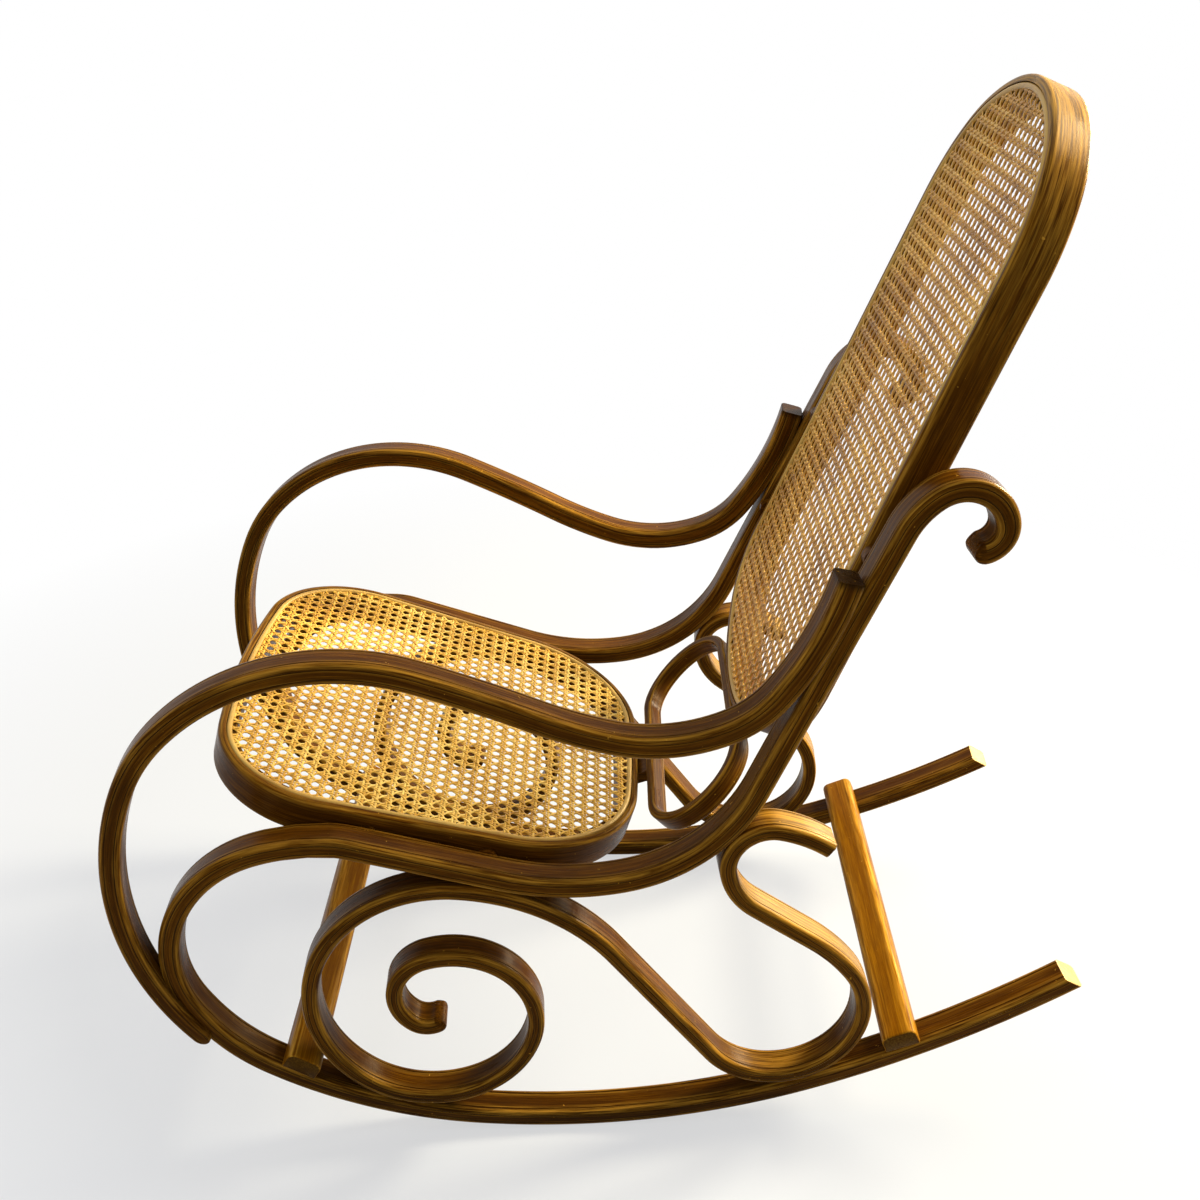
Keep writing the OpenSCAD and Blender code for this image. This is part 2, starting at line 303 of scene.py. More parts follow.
def quirk(a: Array, b: Array, at: float, width: float, depth: float) -> Array:
    """A fine V groove across an edge of the outline.

    Args:
        a: first point of the edge.
        b: last point of the edge.
        at: distance from a to the groove's middle.
        width: width of the groove.
        depth: depth of the groove.

    Returns:
        Four rows of (out, across, wear, groove).
    """
    d = (b - a) / np.linalg.norm(b - a)
    spots = a + (at + QUIRK_SPOTS * width)[:, None] * d
    spots = spots + (QUIRK_BOTTOM * depth)[:, None] * left_of(d)
    return np.column_stack((spots, QUIRK_WEAR * (1 - QUIRK_BOTTOM), QUIRK_BOTTOM))


def straight_run(a: Array | Span, b: Array | Span, count: int) -> Array:
    """Evenly spaced points strictly between two points.

    Args:
        a: point before the run.
        b: point after the run.
        count: number of points.

    Returns:
        Rows of (out, across, wear, groove), unworn.
    """
    a, b = np.array(a), np.array(b)
    t = np.linspace(0, 1, count + 2)[1:-1, None]
    return np.column_stack((a + (b - a) * t, np.zeros((count, 2))))


def points(*rows: tuple[float, float, float, float]) -> Array:
    """Rows of (out, across, wear, groove) as an array."""
    return np.array(rows, float)


@dataclass(frozen=True)
class RodProfile:
    """Moulded section of a bent rod: flat faces, rounded edges and fine quirks beside them.

    Attributes:
        thickness: size in the rod's plane.
        width: size across the rod's plane.
        round: radius of the edges.
        quirk_width: width of the quirks.
        quirk_depth: depth of the quirks on the faces that follow the bends.
        side_quirk: share of that depth on the flat sides.
        quirk_inset: distance from the edge's round to the quirk's middle.
        edge_points: points round each edge.
        face_points: points on a face between its quirks.
    """

    thickness: float
    width: float
    round: float = 5.0
    quirk_width: float = 1.5
    quirk_depth: float = 0.7
    side_quirk: float = 0.6
    quirk_inset: float = 1.5
    edge_points: int = 7
    face_points: int = 3

    def section(self) -> Section:
        """Four quarter circles, joined by faces with a quirk near each end.

        Returns:
            The section round the rod's centre line.
        """
        half = (self.thickness / 2, self.width / 2)
        arcs = box_corners(half, (self.round,) * 4, (self.edge_points,) * 4)
        rows = []
        for k, arc in enumerate(arcs):
            a, b = arc[-1, :2], arcs[(k + 1) % 4][0, :2]
            run = float(np.linalg.norm(b - a))
            near, far = self.quirk_inset, run - self.quirk_inset
            depth = self.quirk_depth * (1.0 if k % 2 else self.side_quirk)
            rows += [
                arc,
                quirk(a, b, near, self.quirk_width, depth),
                straight_run(a + (b - a) * near / run, a + (b - a) * far / run, self.face_points),
                quirk(a, b, far, self.quirk_width, depth),
            ]
        return as_section(*rows)


@dataclass(frozen=True)
class RingProfile:
    """Section of a bent ring: rounded outside edges, a groove for the strip and a cane ledge.

    Attributes:
        width: size from the outside inwards.
        depth: size below the ring's face.
        round: radius of the outside edges.
        edge: distance from the outside to the groove.
        groove_width: width of the groove.
        groove_depth: depth of the groove.
        lip: size of the broken edge at the groove.
        ledge_drop: how far the ledge for the cane lies below the face.
        inner_round: radius of the inside edges.
        outer_points: points round each outside edge.
        inner_points: points round each inside edge.
        side_points: points up the outside.
        back_points: points down the inside, and as many underneath.
    """

    width: float = 20.0
    depth: float = 40.0
    round: float = 5.0
    edge: float = 8.0
    groove_width: float = 7.0
    groove_depth: float = 6.0
    lip: float = 0.4
    ledge_drop: float = 3.0
    inner_round: float = 2.0
    outer_points: int = 8
    inner_points: int = 5
    side_points: int = 5
    back_points: int = 2

    def section(self) -> Section:
        """Outline from the outside face over the groove and the ledge, and round underneath.

        Returns:
            The section; across is the negative of the depth below the ring's face.
        """
        w, d, r, q = self.width, self.depth, self.round, self.inner_round
        groove, ledge = -self.groove_depth, -self.ledge_drop
        inner = -self.edge - self.groove_width
        return as_section(
            straight_run((0.0, r - d), (0.0, -r), self.side_points),
            corner_arc((-r, -r), r, 0, self.outer_points),
            points((-self.edge + self.lip, 0, 0.6, 0), (-self.edge, -self.lip, 0.6, 0.4)),
            points((-self.edge, groove, 0, 1), (inner, groove, 0, 1), (inner, ledge, 0, 0.6)),
            corner_arc((-w + q, ledge - q), q, 90, self.inner_points),
            straight_run((-w, ledge - q), (-w, q - d), self.back_points),
            corner_arc((-w + q, q - d), q, 180, self.inner_points),
            straight_run((-w + q, -d), (-r, -d), self.back_points),
            corner_arc((-r, r - d), r, 270, self.outer_points),
        )


# ---- Meshes ----


@dataclass
class Grid:
    """A surface on a grid, with its places, its grain coordinates and its masks.

    Attributes:
        places: points in metres, rows by columns by three.
        grain: distance along, outwards and across in metres, the same shape.
        wear: worn edges, rows by columns; past 1 the wood is bare, and on some faces that bare
            colour is painted sunlight.
        groove: groove bottoms, rows by columns.
        closed: True where the last row joins the first; it is then a copy of the first.
    """

    places: Array
    grain: Array
    wear: Array
    groove: Array
    closed: bool = False


def grid_corners(rows: int, columns: int) -> Array:
    """Corner indices of the faces of a grid whose columns close into a ring.

    Args:
        rows: rows of points.
        columns: points round the section.

    Returns:
        Faces by four; each face steps one row and one column.
    """
    i, j = np.meshgrid(np.arange(rows - 1), np.arange(columns), indexing="ij")
    k = (j + 1) % columns
    a = i * columns
    return np.stack((a + j, a + columns + j, a + columns + k, a + k), axis=-1).reshape(-1, 4)


def mesh_from_faces(name: str, places: Array, loops: Array, totals: Array) -> Mesh:
    """A mesh from flat arrays.

    Args:
        name: name of the mesh.
        places: points in metres.
        loops: point of each corner, face by face.
        totals: number of corners of each face.

    Returns:
        The mesh, with its edges.
    """
    mesh = bpy.data.meshes.new(name)
    mesh.vertices.add(len(places))
    mesh.vertices.foreach_set("co", np.ascontiguousarray(places, np.float32).ravel())
    mesh.loops.add(len(loops))
    mesh.loops.foreach_set("vertex_index", loops.astype(np.int32))
    mesh.polygons.add(len(totals))
    mesh.polygons.foreach_set("loop_start", (np.cumsum(totals) - totals).astype(np.int32))
    mesh.polygons.foreach_set("loop_total", totals.astype(np.int32))
    mesh.update(calc_edges=True)
    return mesh


def add_corner_data(mesh: Mesh, grain: Array, wear: Array, groove: Array) -> None:
    """Stores on the corners what the finishes read.

    Args:
        mesh: the mesh.
        grain: grain coordinates, corners by three.
        wear: mask of rubbed places, per corner.
        groove: mask of groove bottoms, per corner.
    """
    item = mesh.attributes.new("grain", "FLOAT_VECTOR", "CORNER")
    item.data.foreach_set("vector", np.ascontiguousarray(grain, np.float32).ravel())
    for name, values in (("wear", wear), ("groove", groove)):
        item = mesh.attributes.new(name, "FLOAT", "CORNER")
        item.data.foreach_set("value", np.ascontiguousarray(values, np.float32).ravel())


def reversed_faces(totals: Array) -> Array:
    """Order of the corners that walks each face the other way round.

    Args:
        totals: number of corners of each face.

    Returns:
        One index per corner.
    """
    starts = np.cumsum(totals) - totals
    face = np.repeat(np.arange(len(totals)), totals)
    offset = np.arange(len(face)) - starts[face]
    return starts[face] + totals[face] - 1 - offset


def solid_from_grid(
    name: str, grid: Grid, side: Side = Side.LEFT, sharp: float = 32.0
) -> Object:
    """A closed object from a grid: open grids get a flat face at each end.

    Args:
        name: name of the piece.
        grid: the surface; its columns walk anticlockwise seen against its direction.
        side: the right side is the mirror image in Y, with its faces turned back outwards.
        sharp: angle in degrees past which an edge is shaded sharp.

    Returns:
        The object, at the origin.
    """
    rows, columns = grid.places.shape[:2]
    faces = grid_corners(rows, columns)
    data = np.concatenate((grid.grain, grid.wear[..., None], grid.groove[..., None]), axis=-1)
    places, flat = grid.places.reshape(-1, 3), data.reshape(-1, 5)
    loops, totals, values = faces.ravel(), np.full(len(faces), 4), flat[faces.ravel()]
    if grid.closed:
        places = places[: (rows - 1) * columns]
        loops = loops % len(places)
    else:
        first = np.arange(columns)
        last = (rows - 1) * columns + first[::-1]
        loops = np.concatenate((loops, first, last))
        totals = np.concatenate((totals, [columns, columns]))
        values = np.concatenate((values, flat[first], flat[last]))
    if side is Side.RIGHT:
        places = places * np.array([1, -1, 1])
        order = reversed_faces(totals)
        loops, values = loops[order], values[order]
    mesh = mesh_from_faces(name, places, loops, totals)
    add_corner_data(mesh, values[:, :3], values[:, 3], values[:, 4])
    mesh.shade_smooth()
    mesh.set_sharp_from_angle(angle=math.radians(sharp))
    mesh.validate(clean_customdata=False)
    return link(name, mesh)


def link(name: str, data: bpy.types.ID) -> Object:
    """Puts a mesh, a lamp or a camera into the scene as an object at the origin.

    Args:
        name: name of the object.
        data: what it shows.

    Returns:
        The object.
    """
    obj = bpy.data.objects.new(name, data)
    bpy.context.scene.collection.objects.link(obj)
    return obj


def finish_piece(obj: Object, slot: Slot, material: Material, *nodes: str) -> None:
    """Gives a piece its finish, its body and the solids that it stands for, and reports it.

    Args:
        obj: the piece.
        slot: slot of the record that its finish belongs to; not used.
        material: its finish.
        nodes: names of the solids that it stands for.
    """
    obj.data.materials.append(material)
    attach(obj, BODY)
    if nodes:
        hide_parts(*nodes)
    stands_for = ", ".join(nodes) or "no solid"
    LOG.info("%s: %d faces, stands for %s", obj.name, len(obj.data.polygons), stands_for)


def column(value: Array | float, rows: int) -> Array:
    """A number per row as a column, from one number or from rows of them."""
    return np.broadcast_to(np.asarray(value, float), (rows,))[:, None]


def carry(
    line: BendSchedule, plane: Plane, section: Section, s: Array,
    scale_out: Array | float = 1.0, scale_across: Array | float = 1.0,
) -> Grid:
    """Carries a section along a line: point = line(s) + out * left normal + across * plane normal.

    Args:
        line: the flat centre line.
        plane: where it lies.
        section: the outline.
        s: distances along the line, one per row, or rows by columns where ends are slanted.
        scale_out: factor on the section's thickness, per row.
        scale_across: factor on the section's width, per row.

    Returns:
        The grid, with rows along the line and columns round the section.
    """
    s2 = s[:, None] + np.zeros(len(section.out)) if s.ndim == 1 else s
    rows = s2.shape[0]
    out = section.out * column(scale_out, rows)
    across = section.across * column(scale_across, rows)
    along, up, q = line.at(s2)
    places = plane.place(along - out * np.sin(q), across, up + out * np.cos(q))
    grain = np.stack((s2, out, across), axis=-1) * MM
    spread = np.ones((rows, 1))
    return Grid(places, grain, section.wear * spread, section.groove * spread)


def carry_round(line: BendSchedule, plane: Plane, section: Section, s: Array) -> Grid:
    """Carries a section once round a closed line, as carry does.

    Args:
        line: the flat centre line.
        plane: where it lies.
        section: the outline.
        s: distances along the line, one per row.

    Returns:
        The closed grid.
    """
    grid = carry(line, plane, section, s)
    grid.places[-1] = grid.places[0]
    grid.closed = True
    return grid


@dataclass(frozen=True)
class Ends:
    """Rows that close the ends of a rod, as distances and scales of its section.

    Attributes:
        first: form of the first end.
        last: form of the last end.
        half: half thickness, which is the radius of a round end.
        chamfer: size of the small bevel on a cut end.
        rows: rows over a round end.
        last_turn: angle in degrees at which a round end is closed flat.
        narrowing: how far the width shrinks over a round end.
    """

    first: EndForm
    last: EndForm
    half: float
    chamfer: float = 0.8
    rows: int = 8
    last_turn: float = 88.0
    narrowing: float = 0.12

    def rounding(self, form: EndForm) -> tuple[Array, Array, Array]:
        """Rows of one end, from the body outwards.

        A round end turns about an axis across the rod's plane: its thickness follows a half
        circle and its width shrinks a little. A cut end has one bevelled row.

        Args:
            form: form of the end.

        Returns:
            Advance past the end, and the scales of the section's thickness and width.
        """
        if form is EndForm.ROUND:
            a = np.radians(np.linspace(0, self.last_turn, self.rows + 1))[1:]
            return self.half * np.sin(a), np.cos(a), 1 - self.narrowing * (1 - np.cos(a))
        bevel = self.chamfer / self.half
        return np.array([0.0]), np.array([1 - bevel]), np.array([1 - 0.5 * bevel])

    def extend(self, s: Array) -> tuple[Array, Array, Array]:
        """Adds the rows of both ends to those of the body.

        Args:
            s: distances of the body's rows.

        Returns:
            Distances and the scales of thickness and width for the whole rod.
        """
        first, last = self.rounding(self.first), self.rounding(self.last)
        body = s.copy()
        body[0] += self.chamfer if self.first is EndForm.CUT else 0.0
        body[-1] -= self.chamfer if self.last is EndForm.CUT else 0.0
        distances = np.concatenate((s[0] - first[0][::-1], body, s[-1] + last[0]))
        scales = [np.concatenate((first[k][::-1], np.ones(len(body)), last[k])) for k in (1, 2)]
        return distances, scales[0], scales[1]


# ---- Finishes ----

Colour = Triple
WHITE = (1.0, 1.0, 1.0, 1.0)
NOISE_ROUGHNESS = 0.6


@dataclass(frozen=True)
class Figure:
    """Noise in a finish, which may be stretched along the grain.

    Attributes:
        scale: cells per metre along, outwards and across.
        detail: how many finer layers it has.
        distortion: how far it is swirled.
        between: values of the noise over which it comes to show.
        share: how much it covers, or counts, where it shows.
    """

    scale: Triple
    detail: float
    distortion: float = 0.0
    between: Span = (0.0, 1.0)
    share: float = 1.0


class Nodes:
    """Small helper that fills the node tree of a material or of the world."""

    def __init__(self, owner: Material | World) -> None:
        """Empties the tree and adds its output node.

        Args:
            owner: the material or the world.
        """
        owner.use_nodes = True
        self.owner, self.tree = owner, owner.node_tree
        self.tree.nodes.clear()
        kind = "World" if isinstance(owner, World) else "Material"
        self.output = self.add(f"ShaderNodeOutput{kind}")

    def add(self, kind: str, **inputs: object) -> Node:
        """Adds a node.

        Args:
            kind: Blender's name of the node.
            inputs: what its inputs are set or linked to, with _ for a space and i before a
                number; p_ before a name sets a property.

        Returns:
            The node.
        """
        node = self.tree.nodes.new(kind)
        for key, value in inputs.items():
            if key.startswith("p_"):
                setattr(node, key[2:], value)
        for key, value in inputs.items():
            if not key.startswith("p_"):
                self.feed(node, key, value)
        return node

    def feed(self, node: Node, key: str, value: object) -> None:
        """Links or sets one input of a node.

        Args:
            node: the node.
            key: the input, written as for add.
            value: a socket to link, or a value to set.
        """
        socket = node.inputs[int(key[1:]) if key[1:].isdigit() else key.replace("_", " ")]
        if isinstance(value, Socket):
            self.tree.links.new(value, socket)
        else:
            socket.default_value = value

    def where(self) -> Socket:
        """Place in the chair's frame."""
        return self.add("ShaderNodeTexCoord").outputs["Object"]

    def attribute(self, name: str, output: str = "Fac") -> Socket:
        """What a piece stores on its corners under a name."""
        return self.add("ShaderNodeAttribute", p_attribute_name=name).outputs[output]

    def noise(self, vector: Socket, figure: Figure) -> Socket:
        """Noise on a vector that is first scaled along each of its axes.

        Args:
            vector: the coordinates.
            figure: scale, detail and distortion of the noise.

        Returns:
            The noise, about 0.5 on average.
        """
        mapping = self.add("ShaderNodeMapping", Vector=vector, Scale=figure.scale)
        noise = self.add(
            "ShaderNodeTexNoise", Vector=mapping.outputs["Vector"], Scale=1.0,
            Detail=figure.detail, Roughness=NOISE_ROUGHNESS, Distortion=figure.distortion)
        return noise.outputs["Fac"]

    def span(self, value: Socket, between: Span, to: Span) -> Socket:
        """Maps a range of a value onto another range, held at its ends.

        Args:
            value: the value.
            between: its range.
            to: what the two ends of that range become.

        Returns:
            The mapped value.
        """
        node = self.add(
            "ShaderNodeMapRange", Value=value,
            From_Min=between[0], From_Max=between[1], To_Min=to[0], To_Max=to[1])
        return node.outputs["Result"]

    def shown(self, noise: Socket, figure: Figure) -> Socket:
        """How much a noise covers, from nothing to its figure's share."""
        return self.span(noise, figure.between, (0.0, figure.share))

    def ramp(self, value: Socket, stops: Triple, colours: tuple[Colour, ...]) -> Socket:
        """Colour ramp of three colours.

        Args:
            value: the value that picks the colour.
            stops: where each colour stands.
            colours: the colours.

        Returns:
            The colour.
        """
        node = self.add("ShaderNodeValToRGB", Fac=value)
        elements = node.color_ramp.elements
        elements.new(0.5)
        for element, place, colour in zip(elements, stops, colours):
            element.position = place
            element.color = (*colour, 1.0)
        return node.outputs["Color"]

    def lay(self, share: Socket, over: Colour, under: Socket) -> Socket:
        """Lays a share of a plain colour over another."""
        pair = {"i6": under, "i7": (*over, 1.0)}
        return self.add("ShaderNodeMix", p_data_type="RGBA", i0=share, **pair).outputs[2]

    def maths(self, operation: str, a: Socket | float, b: Socket | float) -> Socket:
        """One step of arithmetic."""
        return self.add("ShaderNodeMath", p_operation=operation, i0=a, i1=b).outputs["Value"]

    def total(self, a: Socket, share_a: float, b: Socket, share_b: float) -> Socket:
        """Sum of shares of two values."""
        part = self.maths("MULTIPLY", a, share_a)
        return self.maths("ADD", part, self.maths("MULTIPLY", b, share_b))

    def seen(self) -> Socket:
        """Tells the rays that look at a thing from those that carry light.

        Returns:
            1 for the rays of the camera, of gloss and of glass, else 0.
        """
        rays = self.add("ShaderNodeLightPath").outputs
        direct = self.maths("MAXIMUM", rays["Is Camera Ray"], rays["Is Glossy Ray"])
        return self.maths("MAXIMUM", direct, rays["Is Transmission Ray"])

    def either(self, share: Socket, a: Node, b: Node) -> Node:
        """Mixes two shaders, with a share of the second."""
        return self.add("ShaderNodeMixShader", i0=share, i1=a.outputs[0], i2=b.outputs[0])

    def gloss(
        self, colour: Socket, roughness: Socket, relief: Socket, strength: float, depth: float,
        sheen: Colour, specular: float,
    ) -> Material:
        """Finishes a material with a glossy shader.

        Args:
            colour: base colour.
            roughness: roughness of the gloss.
            relief: height of the fine relief, from 0 to 1.
            strength: strength of the relief.
            depth: depth of the relief in metres.
            sheen: tint of the reflections.
            specular: strength of the reflections.

        Returns:
            The material.
        """
        bump = self.add("ShaderNodeBump", Strength=strength, Distance=depth, Height=relief)
        return self.finish(self.add(
            "ShaderNodeBsdfPrincipled", Base_Color=colour, Roughness=roughness,
            Normal=bump.outputs["Normal"], Specular_Tint=(*sheen, 1.0),
            Specular_IOR_Level=specular))

    def finish(self, shader: Node) -> Material | World:
        """Links the shader to the output and returns the material or the world."""
        self.tree.links.new(shader.outputs[0], self.output.inputs["Surface"])
        return self.owner


@dataclass(frozen=True)
class LacqueredWood:
    """Stained and lacquered wood whose grain runs along the piece.

    Attributes:
        name: name of the material.
        deep: colour of the darkest streaks.
        body: main colour.
        light: colour of the palest streaks and of thin lacquer.
        rubbed_and_sunlit: colour of the worn edges and chips, also laid in streaks as painted
            sunlight where the wear passes 1.
        grime: colour in the grooves and of the dull patches.
        bare_and_sunlit: colour of wood without its lacquer, also used as painted sunlight.
        tones: tones at which the deep, the main and the light colour stand.
        broad: broad streaks.
        fine: fine streaks.
        pores: open pores.
        patches: darker and paler patches; the share is how far they move the tone.
        dull: dull patches along the grain.
        scratches: scratches where the piece is worn, which also streak the painted sunlight.
        flecks: small chips in the lacquer.
        low_height: heights in metres over which the darkening near the floor fades.
        low_darkening: share of the grime colour laid on the wood near the floor, darker towards the
            bottom.
        bare_and_sunlit_share: share of that colour where the wear passes 1, as bare wood and as
            painted sunlight.
        groove_share: share of grime in the grooves.
        sheen: tint of the lacquer's reflections.
        specular: strength of the lacquer's reflections.
        roughness: roughness of the lacquer.
        dull_between: values of the dull patches over which the roughness rises.
        rougher: how far the roughness falls below and rises above its middle.
        relief: strength and depth in metres of the grain's relief.
        pore_relief: share of the pores in the relief.
        attribute: True to read the piece's grain attribute, False for its Object coordinates.
    """

    name: str
    deep: Colour = (0.0130, 0.0040, 0.0006)
    body: Colour = (0.066, 0.0215, 0.0012)
    light: Colour = (0.22, 0.086, 0.005)
    rubbed_and_sunlit: Colour = (0.45, 0.225, 0.026)
    grime: Colour = (0.012, 0.0045, 0.0008)
    bare_and_sunlit: Colour = (0.62, 0.42, 0.17)
    tones: Triple = (0.27, 0.495, 0.74)
    broad: Figure = Figure((5.0, 150.0, 150.0), 5.0, 0.2, share=0.36)
    fine: Figure = Figure((15.0, 640.0, 640.0), 6.0, 0.2, share=0.64)
    pores: Figure = Figure((55.0, 1900.0, 1900.0), 2.0, between=(0.54, 0.68), share=0.45)
    patches: Figure = Figure((4.0, 4.0, 4.0), 2.0, between=(0.3, 0.7), share=0.045)
    dull: Figure = Figure((9.0, 60.0, 60.0), 4.0, 0.3, (0.54, 0.72), 0.35)
    scratches: Figure = Figure((16.0, 420.0, 420.0), 4.0, 0.2, (0.4, 0.66), 0.75)
    flecks: Figure = Figure((160.0, 160.0, 160.0), 2.0, between=(0.735, 0.76), share=0.7)
    low_height: Span = (0.03, 0.2)
    low_darkening: float = 0.5
    bare_and_sunlit_share: float = 0.75
    groove_share: float = 0.85
    sheen: Colour = (1.0, 0.60, 0.15)
    specular: float = 0.045
    roughness: float = 0.22
    dull_between: Span = (0.35, 0.7)
    rougher: Span = (0.04, 0.2)
    relief: Span = (0.25, 0.0004)
    pore_relief: float = 0.6
    attribute: bool = True

    def build(self) -> Material:
        """Streaks of three sizes along the grain, worn edges, painted sunlight where the wear
        passes 1, grime in the grooves, fine pores.

        Returns:
            The material.
        """
        n = Nodes(bpy.data.materials.new(self.name))
        where = n.where()
        along = n.attribute("grain", "Vector") if self.attribute else where
        broad, fine = n.noise(along, self.broad), n.noise(along, self.fine)
        pores, dull = n.noise(along, self.pores), n.noise(along, self.dull)
        patches, move = n.noise(where, self.patches), self.patches.share
        tone = n.total(broad, self.broad.share, fine, self.fine.share)
        tone = n.maths("ADD", tone, n.span(patches, self.patches.between, (-move, move)))
        colour = n.ramp(tone, self.tones, (self.deep, self.body, self.light))
        colour = n.lay(n.shown(pores, self.pores), self.deep, colour)
        colour = n.lay(n.shown(dull, self.dull), self.grime, colour)
        # Darker towards the floor.
        height = n.add("ShaderNodeSeparateXYZ", Vector=where).outputs["Z"]
        low = n.span(height, self.low_height, (self.low_darkening, 0.0))
        colour = n.lay(low, self.grime, colour)
        if self.attribute:
            wear, groove = n.attribute("wear"), n.attribute("groove")
            scratches = n.shown(n.noise(along, self.scratches), self.scratches)
            # Wear past 1 lays painted sunlight here: rubbed streaks and the bare colour.
            colour = n.lay(n.maths("MULTIPLY", wear, scratches), self.rubbed_and_sunlit, colour)
            colour = n.lay(n.span(wear, (1.0, 2.0), (0.0, self.bare_and_sunlit_share)), self.bare_and_sunlit, colour)
            colour = n.lay(n.maths("MULTIPLY", groove, self.groove_share), self.grime, colour)
        flecks = n.shown(n.noise(where, self.flecks), self.flecks)
        colour = n.lay(flecks, self.rubbed_and_sunlit, colour)
        smoothest, roughest = self.roughness - self.rougher[0], self.roughness + self.rougher[1]
        rough = n.span(dull, self.dull_between, (smoothest, roughest))
        relief = n.maths("ADD", fine, n.maths("MULTIPLY", pores, self.pore_relief))
        return n.gloss(colour, rough, relief, *self.relief, self.sheen, self.specular)


@dataclass(frozen=True)
class Cane:
    """Split cane: golden, glossy skin with fine lengthwise fibres and a tone for each strand.

    Attributes:
        name: name of the material.
        deep: colour of the darkest strands.
        body: main colour.
        light: colour of the palest strands.
        tones: tones at which the deep, the main and the light colour stand.
        strand_share: share of the strand's own tone.
        fibres: fibres along the strands.
        stains: stains that spread over the panel.
        stain_tone: least and most that the stains add to the tone.
        sheen: tint of the reflections.
        specular: strength of the reflections.
        roughness: least roughness.
        rougher: how much rougher the stains are.
        relief: strength and depth in metres of the fibres' relief.
    """

    name: str
    deep: Colour = (0.25, 0.10, 0.007)
    body: Colour = (0.60, 0.32, 0.036)
    light: Colour = (0.86, 0.60, 0.16)
    tones: Triple = (0.16, 0.5, 0.85)
    strand_share: float = 0.34
    fibres: Figure = Figure((40.0, 3000.0, 3000.0), 3.0, share=0.3)
    stains: Figure = Figure((9.0, 9.0, 9.0), 4.0, 0.6, (0.3, 0.7))
    stain_tone: Span = (0.02, 0.38)
    sheen: Colour = (1.0, 0.8, 0.42)
    specular: float = 0.5
    roughness: float = 0.3
    rougher: float = 0.15
    relief: Span = (0.3, 0.0002)

    def build(self) -> Material:
        """Tone of the strand, fibres along it, and stains that spread over the panel.

        Returns:
            The material.
        """
        n = Nodes(bpy.data.materials.new(self.name))
        fibres = n.noise(n.attribute("grain", "Vector"), self.fibres)
        stains = n.noise(n.where(), self.stains)
        tone = n.total(n.attribute("wear"), self.strand_share, fibres, self.fibres.share)
        tone = n.maths("ADD", tone, n.span(stains, self.stains.between, self.stain_tone))
        colour = n.ramp(tone, self.tones, (self.deep, self.body, self.light))
        roughest = self.roughness + self.rougher
        rough = n.span(stains, self.stains.between, (self.roughness, roughest))
        return n.gloss(colour, rough, fibres, *self.relief, self.sheen, self.specular)


@dataclass(frozen=True)
class Finishes:
    """The chair's materials."""

    bentwood: Material
    plain_wood: Material
    stretcher: Material
    seat_cane: Material
    back_cane: Material
    strip: Material

    @staticmethod
    def made() -> "Finishes":
        """Builds every finish once.

        Returns:
            The finishes.
        """
        wood = LacqueredWood("bentwood")
        honey = LacqueredWood(
            "stretcher_wood", deep=(0.07, 0.022, 0.0010), body=(0.18, 0.064, 0.001),
            light=(0.37, 0.160, 0.005), rubbed_and_sunlit=(0.66, 0.34, 0.04), grime=(0.028, 0.013, 0.003),
            roughness=0.28, low_darkening=0.15)
        back = Cane(
            "back_cane", deep=(0.20, 0.075, 0.006), body=(0.50, 0.24, 0.026),
            light=(0.80, 0.50, 0.12))
        strip = Cane(
            "cane_strip", deep=(0.15, 0.075, 0.01), body=(0.36, 0.2, 0.04),
            light=(0.54, 0.35, 0.09), roughness=0.35)
        plain = replace(wood, name="plain_bentwood", attribute=False)
        return Finishes(*(f.build() for f in (wood, plain, honey, Cane("seat_cane"), back, strip)))


# ---- Side frames ----


@dataclass(frozen=True)
class FramePlanes:
    """Splayed and leaning planes of the side frames and of the arms.

    Attributes:
        half_width: half the distance between the side frames at the datum.
        splay: how far each side frame opens to the front, in degrees.
        lean: how far each side frame leans inwards, in degrees.
        arm_half_width: half the distance between the arms' planes at the datum.
        arm_splay: how far each arm opens to the front, in degrees.
        arm_lean: how far each arm leans outwards, in degrees.
        floor_height: height of the floor above the datum of the schedules.
    """

    half_width: float = 251.0
    splay: float = 3.2
    lean: float = 1.6
    arm_half_width: float = 240.0
    arm_splay: float = 4.8
    arm_lean: float = 0.5
    floor_height: float = 2.2

    def side(self) -> Plane:
        """Plane of the left side frame."""
        axes = turned("x", -self.lean) @ turned("z", self.splay)
        return Plane((-LENGTH_MIDDLE, -self.half_width, -self.floor_height), axes)

    def arm(self) -> Plane:
        """Plane of the left arm."""
        axes = turned("x", self.arm_lean) @ turned("z", self.arm_splay)
        return Plane((-LENGTH_MIDDLE, -self.arm_half_width, -self.floor_height), axes)

    def ring(self, along: float, up: float, tilt: float) -> Plane:
        """Plane of a ring or of the loop: its along points to the chair's right."""
        axes = turned("y", tilt) @ turned("z", 90)
        return Plane((along - LENGTH_MIDDLE, 0.0, up - self.floor_height), axes)


